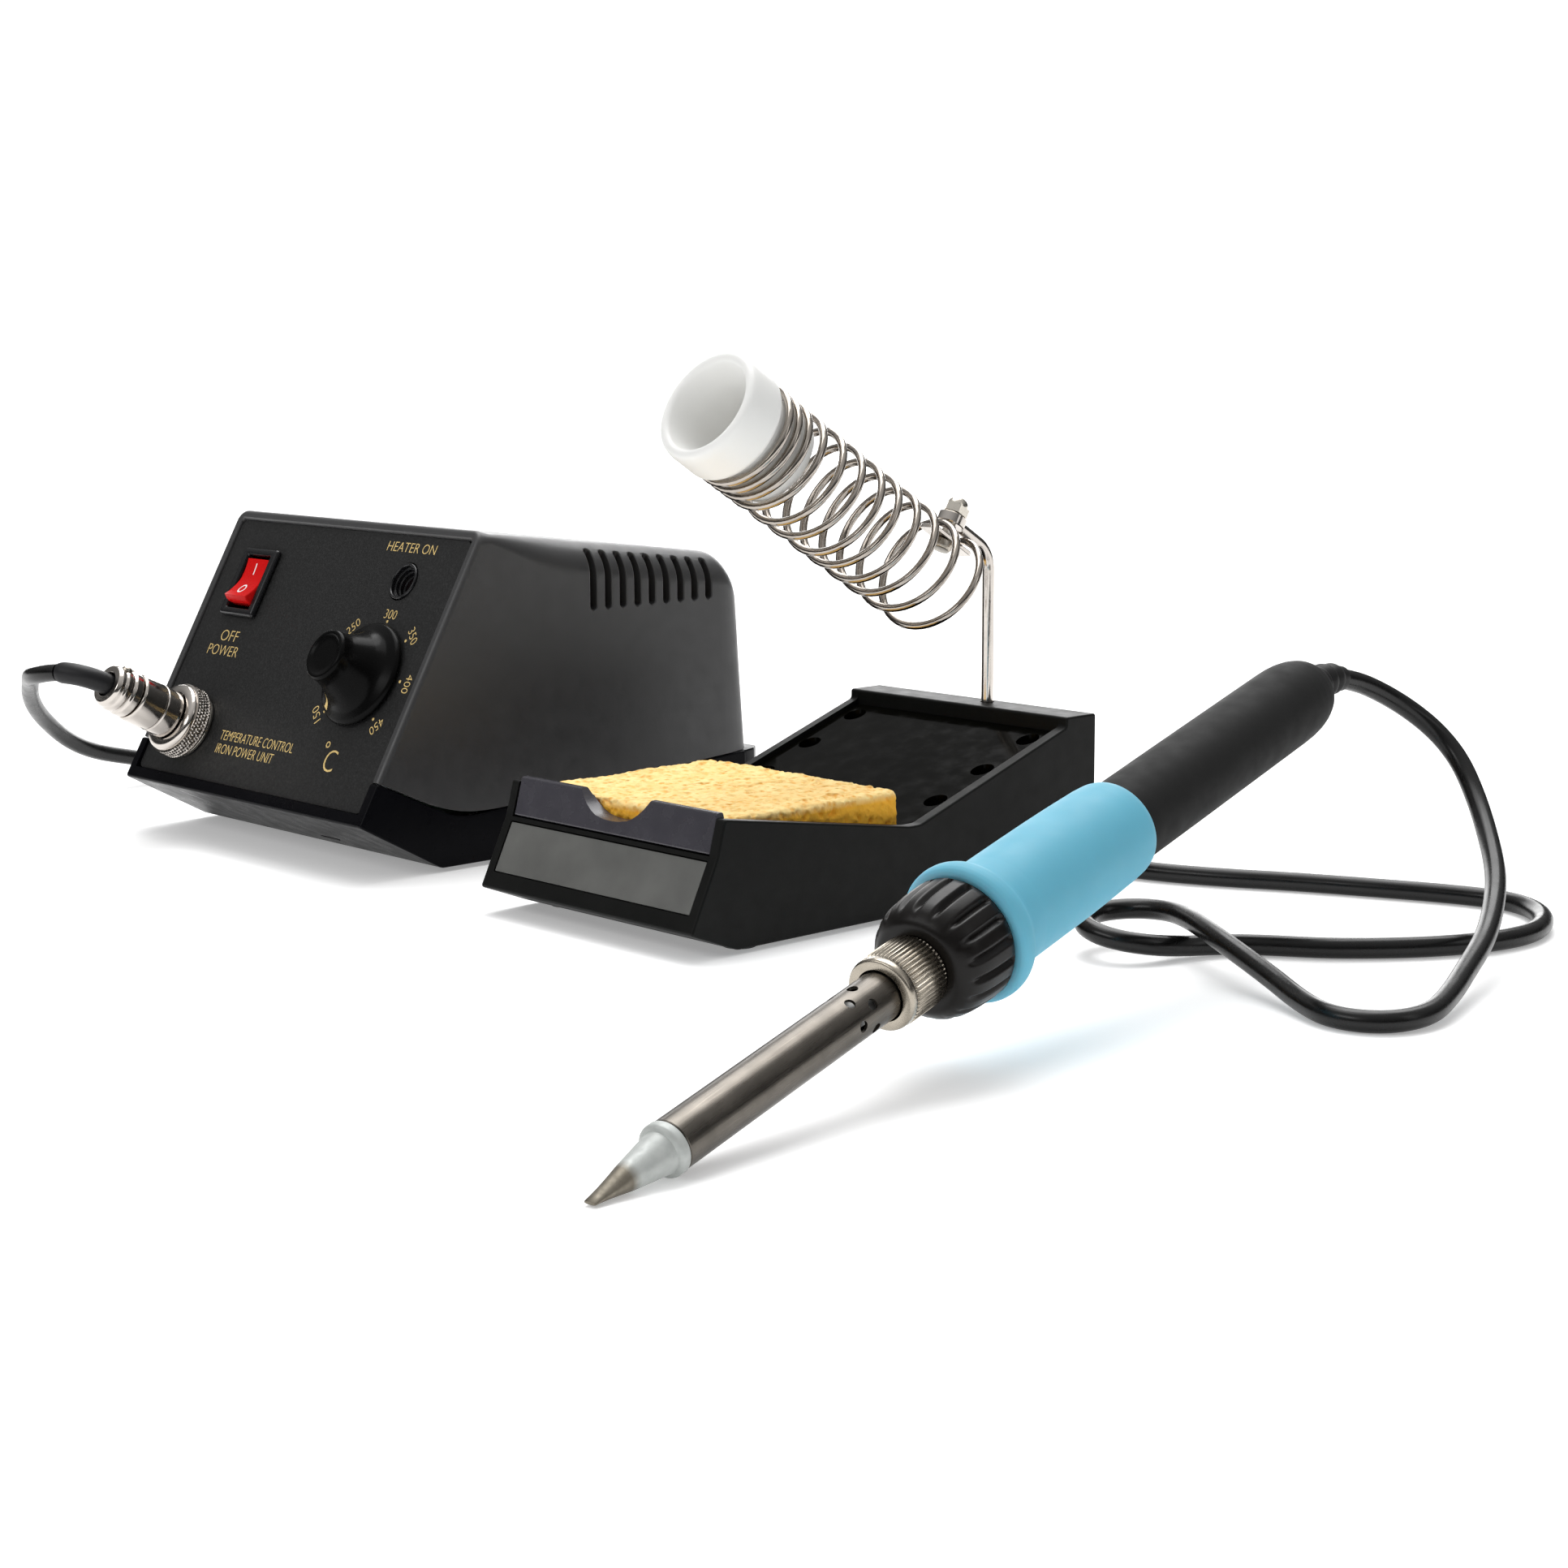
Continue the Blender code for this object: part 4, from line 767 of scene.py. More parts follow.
def slot_tool(tree, y, side):
    """A cutter for one louver slot, with a flared lip that follows the shell's own surface."""
    top = 86.2 - (y - 86.0) * 0.12
    straight = top - SHELL_ARC - SLOT_FOOT_Z
    length = straight + 9.0

    def surface(s, dy):
        if s < straight:
            p, n = Vector((UNIT_W, y + dy, SLOT_FOOT_Z + s)), Vector((1.0, 0.0, 0.0))
        else:
            a = (s - straight) / SHELL_ARC
            n = Vector((math.cos(a), 0.0, math.sin(a)))
            p = Vector((UNIT_W - SHELL_ARC, y + dy, top - SHELL_ARC)) + n * SHELL_ARC
        if side < 0:
            p.x = UNIT_W - p.x
            n.x = -n.x
        return tree.find_nearest(p)[0], n

    verts = []
    size = 0
    for depth, extra in ((-4.4, 0.0), (-0.5, 0.0), (-0.2, 0.07), (-0.04, 0.26), (0.06, 0.44), (1.4, 0.5)):
        rows = slot_outline(SLOT_HALF, length)
        run = [(s + (extra if k > len(rows) // 2 else -extra) * (1.0 - h / SLOT_HALF), h + extra * h / SLOT_HALF)
               for k, (s, h) in enumerate(rows)]
        loop = [(s, h) for s, h in run] + [(s, -h) for s, h in run[-2:0:-1]]
        size = len(loop)
        for s, h in loop:
            p, n = surface(s, h)
            verts.append(p + n * depth)
    n = size // 2
    faces = strip_faces(6, size)
    for base, flip in ((0, 1), (5 * size, -1)):
        for k in range(n):
            left = (base + (size - k) % size, base + size - k - 1)
            faces.append((base + k, base + k + 1, left[1], left[0])[::flip])
    faces = [tuple(dict.fromkeys(f)) for f in faces]
    return piece("slot", verts, [f for f in faces if len(f) > 2], level(), None, None)


def build_cover():
    place_at = level()
    cover = loft("cover_shell", [shell_loop(*row) for row in cover_shape()], place_at, "cover")
    hollow_rows = [
        (panel_yz(-3.0, 4.0), panel_yz(85.2, 4.0), 2.6, 1.4), (panel_yz(-3.0, 0.75), panel_yz(85.2, 0.75), 2.6, 1.4),
        (panel_yz(-3.0, 0.5), panel_yz(84.85, 0.5), 2.95, 1.1), (panel_yz(-3.0, 0.1), panel_yz(84.6, 0.1), 3.2, 0.9),
        (panel_yz(-3.0, -3.0), panel_yz(84.6, -3.0), 3.2, 0.9), ((34.0, 5.0), (68.0, 84.9), 3.2, 6.4),
        ((60.0, 5.0), (86.0, 82.8), 3.2, 7.0), ((112.0, 5.0), (116.0, 79.2), 3.2, 7.0),
        ((132.0, 5.0), (127.0, 77.8), 3.2, 7.0), ((137.2, 5.0), (134.6, 69.5), 6.4, 4.0),
    ]
    inside = loft("inside", [shell_loop(*row) for row in hollow_rows], place_at, None)
    vertices = [v.co / MM for v in cover.data.vertices]
    tree = BVHTree.FromPolygons(vertices, [tuple(p.vertices) for p in cover.data.polygons])
    tools = [slot_tool(tree, SLOT_FIRST_Y + SLOT_PITCH * k, side) for k in range(SLOT_COUNT) for side in (1, -1)]
    for x, r in ((30.0, 5.4), (60.0, 6.9)):
        tools.append(prism("hole", circle(r, 48), -12.0, 6.0, facing_rear(x, 139.0, 38.0), None))
    cut(cover, inside)
    cut(cover, join("openings", *tools))
    hold(smooth_again(cover, 40.0), "power_unit", "station_cover")


def base_outline(back, ledge):
    def top(y):
        return 14.5 + (y - 36.0) * 0.0679

    return [panel_yz(0.0, 0.8), (26.0, 1.2), (back - 3.5, 1.2), (back, 5.0), (back, top(ledge)), (ledge, top(ledge)),
            (36.0, 14.5), (30.3, 15.2), (22.0, 18.8), (14.2, 22.6), panel_yz(12.7, 0.8)]


def build_base():
    loops = []
    ends = [(0.0, 138.0, 136.0), (1.5, 142.6, 139.6), (5.0, 146.5, 140.6)]
    ends += [(120.0 - x, back, ledge) for x, back, ledge in ends[::-1]]
    outlines = [(x, round_corners(base_outline(back, ledge), 0.9, 4)) for x, back, ledge in ends]
    for k in range(5):
        a = math.radians(22.5 * k)
        rim = inset(outlines[0][1], BASE_RIM * (1 - math.sin(a)))
        loops.append([(y, z, BASE_RIM * (1 - math.cos(a))) for y, z in rim])
    loops += [[(y, z, x) for y, z in outline] for x, outline in outlines[1:-1]]
    for k in range(4, -1, -1):
        a = math.radians(22.5 * k)
        rim = inset(outlines[-1][1], BASE_RIM * (1 - math.sin(a)))
        loops.append([(y, z, UNIT_W - BASE_RIM * (1 - math.cos(a))) for y, z in rim])
    base = loft("base_tub", loops, facing_right(0, 0, 0), "base", sharp=50.0)
    room = [panel_yz(3.5, 4.0), panel_yz(3.5, -3.0), (28.5, 3.6), (137.0, 3.6), (137.0, 60.0), (20.0, 60.0)]
    tools = [prism("room", room, 3.2, 116.8, facing_right(0, 0, 0), None)]
    for x, y in UNIT_FEET:
        tools.append(prism("pocket", circle(5.6, 32), -1.0, 2.6, level(x, y, 0), None))
    cut(base, join("room_and_pockets", *tools))
    hold(smooth_again(base, 50.0), "power_unit", "station_base")
    slope = place((1, 0, 0), (0, -0.766, 0.643), (0, -0.643, -0.766), (83.0, 14.95, 6.2))
    prism("mould_dimple", rounded(9.0, 0.7, 0.3, 3), 0.0, 0.25, slope, "satin", "power_unit")
    foot = [(0, 0), (4.6, 0), (5.2, 0.8), (5.2, 2.3), (0, 2.3)]
    for i, (x, y) in enumerate(UNIT_FEET):
        turned(f"unit_foot_{i + 1}", soften(foot, 0.3), 40, level(x, y, 0), "rubber", "power_unit",
               [f"station_foot_{i + 1}"])


def rocker_height(t):
    return 2.55 + 1.65 * (abs(t) / 6.6) ** 1.7


def build_switch():
    steps = [(13.0, 18.8, -11.0), (13.0, 18.8, 0.3), (16.9, 21.3, 0.3), (17.2, 21.6, 0.5), (17.2, 21.6, 1.0),
             (17.0, 21.4, 1.3), (16.6, 21.0, 1.6), (16.2, 20.6, 1.8), (15.8, 20.2, 1.85), (12.7, 17.7, 1.85),
             (12.4, 17.4, 1.8), (12.0, 17.0, 1.5), (11.8, 16.8, 1.1), (11.8, 16.8, -9.0)]
    loops = [lift(rounded(w, h, 0.8 if w > 16 else 0.5, 5), z) for w, h, z in steps]
    loft("switch_frame", loops, panel(*SWITCH_AT), "switch", "power_unit", ["switch_housing"])
    ts = [-6.6 + 13.2 * k / 24 for k in range(25)]
    outline = [(t, rocker_height(t)) for t in ts]
    outline += [(7.2, 3.0), (7.35, 2.0), (6.9, -1.0), (4.6, -4.6), (-4.6, -4.6), (-6.9, -1.0), (-7.35, 2.0),
                (-7.2, 3.0)]
    tilt = panel(*SWITCH_AT, -1.2) @ Matrix.Rotation(math.radians(-12.0), 4, "X")
    across = Matrix(((0, 0, 1, 0), (1, 0, 0, 0), (0, 1, 0, 0), (0, 0, 0, 1)))
    slab("rocker", outline, -5.5, 5.5, 0.45, tilt @ across, "red", "rocker", ["power_rocker"], 40.0)
    ring_mark = hollow("mark_off", [(1.05, -0.1), (1.5, -0.1), (1.5, 0.03), (1.05, 0.03)], 40,
                       tilt @ Matrix.Translation((0, -3.5 * MM, 0)), "white", r=0)
    shift_mesh(ring_mark, lambda x, y, z: (x, y * 1.15, z + rocker_height(y * 1.15 - 3.5)))
    bar = loft("mark_on", [[(x, -1.7 + 3.4 * k / 10, z) for x, z in ((-0.25, -0.1), (0.25, -0.1), (0.25, 0.03),
                                                                       (-0.25, 0.03))] for k in range(11)],
               tilt @ Matrix.Translation((0, 3.6 * MM, 0)), "white")
    shift_mesh(bar, lambda x, y, z: (x, y, z + rocker_height(y + 3.6)))
    hold(ring_mark, "rocker")
    hold(bar, "rocker")


def build_lamp():
    where = panel(*LAMP_AT)
    steps = [(5.5, -8.0), (5.5, 0.3), (5.25, 0.6), (4.85, 0.6), (4.6, 0.2), (4.6, -1.0), (4.2, -1.0), (4.1, -2.2),
             (3.7, -2.2), (3.6, -3.5), (3.2, -3.5), (3.0, -5.0), (2.8, -5.0), (2.8, -8.0)]
    hollow("lamp_ring", steps, 72, where, "switch", "power_unit", ["lamp_bezel"], r=0.12)
    dome = [(0, -10.0), (2.5, -10.0), (2.5, -6.4), (2.42, -5.7), (2.2, -5.1), (1.8, -4.6), (1.3, -4.25), (0.7, -4.05),
            (0, -4.0)]
    turned("lamp_dome", dome, 48, where, "lamp", "power_unit", ["heater_lamp"])


def build_knob():
    where = panel(*KNOB_AT)
    profile = [(0, 14.55), (4.6, 14.5), (5.6, 14.75), (6.3, 15.1), (7.0, 15.05), (7.5, 14.4), (7.5, 12.6),
               (7.75, 11.2), (8.25, 9.9), (9.0, 8.3), (9.7, 6.9), (10.5, 5.4), (11.3, 4.35), (12.3, 3.5),
               (13.6, 2.9), (14.9, 2.3), (15.4, 1.3), (15.2, 0.6), (7.4, 0.6), (7.4, 3.6), (3.4, 3.6), (3.4, 13.2),
               (0, 13.2)]
    turned("knob", soften(profile, 0.5, 4), 120, where, "knob", "knob", ["temperature_knob"], sharp=45.0)

    def skirt(r):
        rows = [(9.7, 6.9), (10.5, 5.4), (11.3, 4.35), (12.3, 3.5), (13.6, 2.9), (14.9, 2.3)]
        for (ra, za), (rb, zb) in zip(rows, rows[1:]):
            if r <= rb:
                return za + (zb - za) * (r - ra) / (rb - ra)
        return 2.3

    a = math.radians(-122.0)
    loops = []
    for k in range(11):
        r = 9.9 + 3.9 * k / 10
        w = 0.18 + 0.85 * k / 10
        z = skirt(r)
        loops.append([(r, -w, z - 0.15), (r, w, z - 0.15), (r, w, z + 0.07), (r, -w, z + 0.07)])
    loft("knob_pointer", loops, where @ Matrix.Rotation(a, 4, "Z"), "gold", "knob")
    shaft = [(0, 3.5), (3.0, 3.5), (3.0, 12.8), (0, 12.8)]
    turned("shaft", shaft, 40, where, "steel", "knob", ["knob_shaft"])


def hexagon(bore, flats, low, high, name, where, mat, body, node):
    count = 72
    verts = []
    chamfer = flats / 2 - 0.5
    rows = [(bore, low), (chamfer, low), (0, low + 0.3), (0, high - 0.3), (chamfer, high), (bore, high)]
    for r, z in rows:
        for i in range(count):
            a = 2 * math.pi * i / count
            off = (a + math.pi / 6) % (math.pi / 3) - math.pi / 6
            rr = r or flats / 2 / math.cos(off)
            verts.append((rr * math.cos(a), rr * math.sin(a), z))
    return piece(name, verts, strip_faces(len(rows), count, True), where, mat, body, [node], 30.0)


def knurl(low, high, count, depth):
    def shape(r, z, a):
        if low <= z <= high:
            turn = (z - low) * 3.1
            wave = min(abs(math.sin((a * count + turn) / 2)), abs(math.sin((a * count - turn) / 2)))
            return r - depth + depth * min(1.0, wave * 1.5)
        return r

    return shape


def build_connector():
    where = panel(*SOCKET_AT)
    socket = [(0, -9.0), (7.9, -9.0), (7.9, 0.3), (9.8, 0.3), (9.8, 1.2), (7.9, 1.2), (7.9, 6.4), (7.35, 6.4),
              (7.35, 2.2), (0, 2.2)]
    turned("socket_body", soften(socket, 0.15), 72, where, "nickel", "power_unit", ["panel_socket"])
    hexagon(8.3, 19.0, -4.6, -2.3, "socket_hex_nut", where, "nickel", "power_unit", "socket_nut")
    shell = [(0, 2.5), (6.6, 2.5), (7.0, 2.9), (7.0, 8.6), (7.15, 9.0), (7.15, 13.9), (6.98, 14.1), (6.98, 14.5),
             (7.15, 14.7), (7.15, 21.8), (6.8, 22.4), (0, 22.4)]
    turned("plug_body", soften(shell, 0.25), 96, where, "chrome", "power_unit", ["plug_shell"])
    rows = [(8.25, 1.5), (10.2, 1.5), (10.6, 1.8), (10.6, 2.1), (10.2, 2.25)]
    rows += [(10.75, 2.35 + 0.1 * k) for k in range(42)]
    rows += [(10.2, 6.6), (10.25, 6.75), (10.25, 7.3), (9.5, 8.3), (7.5, 8.3), (7.5, 6.9), (8.25, 6.9)]
    hollow("lock_ring", rows, 336, where, "chrome", "plug_ring", ["coupling_ring"], knurl(2.4, 6.4, 64, 0.5), 60.0,
           r=0)
    head = [(0, 22.7), (6.4, 22.7), (6.9, 23.2), (6.9, 25.3), (6.35, 25.9), (6.35, 26.5), (6.75, 27.0), (6.75, 28.2),
            (6.3, 28.8), (6.3, 30.0), (5.6, 31.0), (3.7, 31.0), (3.5, 24.6), (0, 24.6)]
    clamp = turned("clamp_head", soften(head, 0.22), 84, where, "chrome")
    flat = prism("flat", rounded(20.0, 10.0, 0.1, 1, 0.0, 10.0), 26.4, 30.0, where, None)
    hold(smooth_again(cut(clamp, flat), 30.0), "power_unit", "plug_clamp")
    for i, side in enumerate((-2.6, 2.6)):
        at = where @ Matrix.Translation((side * MM, 5.3 * MM, 28.2 * MM)) @ Matrix.Rotation(-math.pi / 2, 4, "X")
        screw = turned("screw", soften([(0, 0), (1.55, 0), (1.55, 0.75), (1.1, 1.25), (0, 1.35)], 0.15), 36, at,
                       "steel")
        slot = prism("screw_slot", rounded(4.0, 0.34, 0.05, 2), 0.85, 2.0, at @ Matrix.Rotation(0.5 + i, 4, "Z"),
                     None)
        screw = cut(screw, slot)
        screw.name = f"slotted_screw_{i + 1}"
        hold(smooth_again(screw, 30.0), "power_unit", f"clamp_screw_{i + 1}")


def build_rear():
    gland = [(5.1, -5.4), (5.1, 1.7), (7.6, 1.7), (7.6, 4.0), (6.2, 4.6), (5.9, 6.0), (5.6, 9.0), (4.6, 10.0),
             (3.4, 10.0), (3.4, -5.4)]
    hollow("cable_gland", gland, 64, facing_rear(30.0, 139.0, 38.0), "satin", "power_unit", ["mains_gland"], r=0.3)
    holder = [(0, -11.0), (6.5, -11.0), (6.5, 1.7), (8.4, 1.7), (8.4, 3.4), (7.8, 4.0), (0, 4.0)]
    cap = turned("fuse_cap", soften(holder, 0.3), 64, facing_rear(60.0, 139.0, 38.0), "satin")
    slot = prism("cap_slot", rounded(9.0, 1.3, 0.3, 3), 3.1, 6.0, facing_rear(60.0, 139.0, 38.0), None)
    hold(smooth_again(cut(cap, slot), 35.0), "power_unit", "fuse_holder")


# ---------------------------------------------------------------- lettering
def lettering(name, words, across, up, width, turn=0.0, height=None, mat="gold", out=0.0):
    data = bpy.data.curves.new(name, "FONT")
    data.body = words
    data.align_x = "CENTER"
    data.align_y = "CENTER"
    data.size = 0.01
    data.extrude = 0.00002
    data.offset = -0.00014
    data.resolution_u = 4
    text = bpy.data.objects.new(name, data)
    bpy.context.scene.collection.objects.link(text)
    bpy.context.view_layer.update()
    graph = bpy.context.evaluated_depsgraph_get()
    mesh = bpy.data.meshes.new_from_object(text.evaluated_get(graph), depsgraph=graph)
    bpy.data.objects.remove(text, do_unlink=True)
    xs = [v.co.x for v in mesh.vertices]
    ys = [v.co.y for v in mesh.vertices]
    sx = width * MM / (max(xs) - min(xs))
    sy = height * MM / (max(ys) - min(ys)) if height else sx
    for v in mesh.vertices:
        v.co = Vector(((v.co.x - (max(xs) + min(xs)) / 2) * sx, (v.co.y - (max(ys) + min(ys)) / 2) * sy, v.co.z))
    mesh.materials.clear()
    mesh.materials.append(MATS[mat])
    obj = bpy.data.objects.new(name, mesh)
    bpy.context.scene.collection.objects.link(obj)
    obj.matrix_world = panel(across, up, out + 0.03) @ Matrix.Rotation(turn, 4, "Z")
    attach(obj, "power_unit")


def build_lettering():
    lettering("word_off", "OFF", 21.6, 47.7, 9.0, height=3.4)
    lettering("word_power", "POWER", 21.2, 43.0, 15.7, height=3.2)
    lettering("word_heater", "HEATER ON", 91.0, 80.8, 22.5, height=2.9)
    lettering("word_caption_1", "TEMPERATURE CONTROL", 56.6, 18.0, 37.0, height=2.9)
    lettering("word_caption_2", "IRON POWER UNIT", 53.0, 13.9, 29.0, height=2.9)
    lettering("unit_c", "C", 93.9, 16.6, 5.0, height=6.4)
    hollow("unit_degree", [(0.6, -0.05), (0.95, -0.05), (0.95, 0.02), (0.6, 0.02)], 32,
           panel(90.2, 21.0, 0.05), "gold", "power_unit", r=0)
    numbers = (("150", 79.1, 28.9), ("250", 79.3, 55.7), ("300", 93.9, 60.7), ("350", 107.6, 55.3),
               ("400", 113.7, 41.6), ("450", 108.0, 28.5))
    for words, across, up in numbers:
        a = math.atan2(up - KNOB_AT[1], across - KNOB_AT[0])
        lettering(f"scale_{words}", words, across, up, 5.4, a - math.pi / 2, 2.7)
    for i, degrees in enumerate(DIAL_DOTS):
        a = math.radians(degrees)
        at = panel(KNOB_AT[0] + DIAL_DOT_R * math.cos(a), KNOB_AT[1] + DIAL_DOT_R * math.sin(a))
        turned(f"scale_dot_{i + 1}", [(0, -0.05), (0.48, -0.05), (0.42, 0.05), (0, 0.06)], 20, at, "gold",
               "power_unit")


# ---------------------------------------------------------------- stand
def build_stand():
    right = facing_right(STAND_X, STAND_Y, 0)
    body = [(0.0, 6.9), (14.9, 1.2), (143.6, 1.2), (143.6, 45.0), (131.9, 45.0), (131.9, 42.4), (77.0, 23.6),
            (73.0, 23.6), (10.9, 33.2), (8.45, 24.3)]
    base = slab("stand_body", round_corners(body, 0.9, 4), 0.0, STAND_W, 0.6, right, "stand")
    well = [(11.4, 15.0), (76.8, 15.0), (76.8, 19.7), (132.0, 38.6), (131.7, 60.0), (-5.0, 60.0), (-5.0, 24.3),
            (11.4, 24.3)]
    under = [(20.0, -1.0), (138.6, -1.0), (138.6, 38.0), (135.0, 38.0), (78.5, 16.2), (74.0, 12.0), (20.0, 12.0)]
    cut(base, prism("well", well, 3.0, STAND_W - 3.0, right, None))
    label = place((1, 0, 0), (0, 0.437, 0.8995), (0, -0.8995, 0.437), (STAND_X + 40.5, STAND_Y + 4.95, 17.15))
    tools = [prism("under", under, 14.0, STAND_W - 14.0, right, None)]
    tools.append(prism("recess", rounded(75.0, 13.8, 0.4, 3), -1.2, 4.0, label, None))
    for x, y in STAND_FEET:
        tools.append(prism("pocket", circle(5.1, 32), -1.0, 3.6, level(STAND_X + x, STAND_Y + y, 0), None))
    tools.append(prism("post_hole", circle(1.95, 40), 40.6, 60.0, level(STAND_X + 45.6, STAND_Y + 139.4, 0), None))
    for x, y in TIP_HOLES:
        tools.append(prism("tip_hole", circle(3.1, 40), 8.0, 60.0, level(STAND_X + x, STAND_Y + y, 0), None))
    cut(base, join("stand_openings", *tools))
    bevel(base, 0.3, 2, 40.0)
    hold(base, "stand", "stand_base")
    slab("front_label_plate", rounded(74.4, 13.2, 0.3, 3), -0.9, -0.2, 0.12, label, "plate", "stand", ["front_plate"])
    ramp = [(77.2, 20.2), (131.5, 38.8), (131.5, 41.0), (77.2, 22.4)]
    sheet = slab("ramp_sheet", round_corners(ramp, 0.3, 3), 3.3, STAND_W - 3.3, 0.25, right, "ramp")
    drills = [prism("drill", circle(3.1, 40), 10.0, 60.0, level(STAND_X + x, STAND_Y + y, 0), None)
              for x, y in TIP_HOLES]
    cut(sheet, join("drills", *drills))
    bevel(sheet, 0.18, 2, 40.0)
    hold(sheet, "stand", "ramp_plate")
    foot = [(0, 0), (4.1, 0), (4.7, 0.8), (4.7, 3.3), (0, 3.3)]
    for i, (x, y) in enumerate(STAND_FEET):
        turned(f"stand_pad_{i + 1}", soften(foot, 0.3), 40, level(STAND_X + x, STAND_Y + y, 0), "rubber", "stand",
               [f"stand_foot_{i + 1}"])


def build_tray():
    right = facing_right(STAND_X, STAND_Y, 0)
    body = [(8.7, 24.6), (11.4, 34.3), (13.4, 34.3), (13.9, 32.2), (76.5, 22.6), (76.5, 15.3), (11.7, 15.3),
            (11.7, 24.6)]
    tray = slab("tray", round_corners(body, 0.6, 4), 3.3, STAND_W - 3.3, 0.35, right, "tray")
    pocket = [(14.2, 16.9), (75.0, 16.9), (75.0, 60.0), (14.2, 60.0)]
    half = [(14.0, 60.0), (14.0, 36.0), (13.5, 34.6), (12.6, 33.4), (11.3, 31.9), (9.8, 30.6), (8.0, 29.4),
            (6.0, 28.5), (3.0, 27.95), (0.0, 27.8)]
    notch = [(40.5 + x, z) for x, z in half] + [(40.5 - x, z) for x, z in half[-2::-1]]
    cut(tray, prism("pocket", pocket, 4.9, STAND_W - 4.9, right, None))
    cut(tray, prism("notch", notch, -14.8, -2.0, facing_front(STAND_X, STAND_Y, 0), None))
    bevel(tray, 0.28, 2, 40.0)
    hold(tray, "tray", "sponge_tray")


def build_sponge():
    """A block of open foam: a fine grid pushed about by noise and small pores."""
    wide, deep, low, high = STAND_W - 10.6, 60.0, 17.2, 32.3
    nx, ny, nz = 150, 128, 30
    verts = []
    index = {}
    faces = []

    def corner(key):
        if key not in index:
            i, j, k = key
            index[key] = len(verts)
            verts.append(Vector((wide * (i / nx - 0.5), deep * (j / ny - 0.5), low + (high - low) * k / nz)))
        return index[key]

    def quad(*keys):
        faces.append([corner(key) for key in keys])

    for i in range(nx):
        for j in range(ny):
            quad((i, j, nz), (i + 1, j, nz), (i + 1, j + 1, nz), (i, j + 1, nz))
            quad((i, j, 0), (i, j + 1, 0), (i + 1, j + 1, 0), (i + 1, j, 0))
    for i in range(nx):
        for k in range(nz):
            quad((i, 0, k), (i + 1, 0, k), (i + 1, 0, k + 1), (i, 0, k + 1))
            quad((i, ny, k), (i, ny, k + 1), (i + 1, ny, k + 1), (i + 1, ny, k))
    for j in range(ny):
        for k in range(nz):
            quad((0, j, k), (0, j, k + 1), (0, j + 1, k + 1), (0, j + 1, k))
            quad((nx, j, k), (nx, j + 1, k), (nx, j + 1, k + 1), (nx, j, k + 1))
    middle = Vector((0.0, 0.0, (low + high) / 2))
    core = Vector((wide / 2 - 1.6, deep / 2 - 1.6, (high - low) / 2 - 1.6))
    for v in verts:
        own = v - middle
        near = Vector([max(-core[a], min(core[a], own[a])) for a in range(3)])
        away = own - near
        length = away.length
        way = away / length if length > 1e-6 else Vector((0.0, 0.0, 1.0))
        own = near + way * min(length, 1.6)
        broad = noise.noise(own / 11.0) * 0.35
        lumps = noise.noise(own / 2.6) * 0.34 + noise.noise(own / 1.1) * 0.2
        pits = max(0.0, noise.noise(own / 1.7 + Vector((7.0, 3.0, 1.0))) - 0.22) * 2.4
        push = min(0.3, broad + lumps - pits - 0.25)
        v.xyz = middle + own + way * push
    where = level(STAND_X + STAND_W / 2, STAND_Y + 44.6, 0)
    sponge = piece("foam_sponge", verts, faces, where, "sponge", "wet_sponge", ["sponge"], 180.0)


# ---------------------------------------------------------------- holder
def build_post():
    corner = spring_frame(10.36, 17.05).translation / MM + Vector(LAYOUT_ORIGIN)
    ahead = Vector((0.0, -math.cos(SPRING_ELEV), math.sin(SPRING_ELEV)))
    start = corner - Vector((0.0, 0.0, 1.0)) * 5.5
    end = corner + ahead * 5.5
    bar = [Vector((corner.x, corner.y, 41.0)), start]
    for k in range(1, 14):
        f = k / 14
        bar.append(start * (1 - f) ** 2 + corner * 2 * f * (1 - f) + end * f ** 2)
    bar += [end, corner + ahead * 13.6, corner + ahead * 14.4]
    radii = [1.65] * (len(bar) - 1) + [1.4]
    post = sweep("holder_post", [p - Vector(LAYOUT_ORIGIN) for p in bar], radii, 28, Matrix.Identity(4), "chrome")
    eye = [(0, 15.7), (3.75, 15.7), (4.0, 15.95), (4.0, 18.35), (3.75, 18.6), (0, 18.6)]
    union(post, turned("eye", eye, 40, clamp_frame(), "chrome"))
    cut(post, prism("bore", circle(1.85, 32), 10.0, 24.0, clamp_frame(), "chrome"))
    hold(smooth_again(post, 40.0), "post", "stand_post")


def coil_path(steps):
    lows = (27.3, 37.7, 46.5, 53.8, 62.1, 68.8, 77.7, 85.0, 93.3, 98.0, 101.7, 105.2)
    knots = [(0.0, 22.0)]
    for i, s in enumerate(lows):
        knots.append((0.5 + i, s))
        if i + 1 < len(lows):
            knots.append((1.0 + i, (s + lows[i + 1]) / 2))
    knots.append((len(lows) - 0.22, 106.2))
    total = knots[-1][0]
    count = int(total * steps)
    rise = []
    for k in range(count + 1):
        turns = total * k / count
        for (a, sa), (b, sb) in zip(knots, knots[1:]):
            if a <= turns <= b:
                rise.append(sa + (sb - sa) * (turns - a) / (b - a))
                break
    for _ in range(30):
        inner = [(rise[i - 1] + rise[i] * 2 + rise[i + 1]) / 4 for i in range(1, len(rise) - 1)]
        rise = [rise[0], *inner, rise[-1]]
    path = []
    for k, s in enumerate(rise):
        angle = math.pi / 2 + 2 * math.pi * total * k / count
        path.append((COIL_R * math.cos(angle), COIL_R * math.sin(angle), s))
    return path


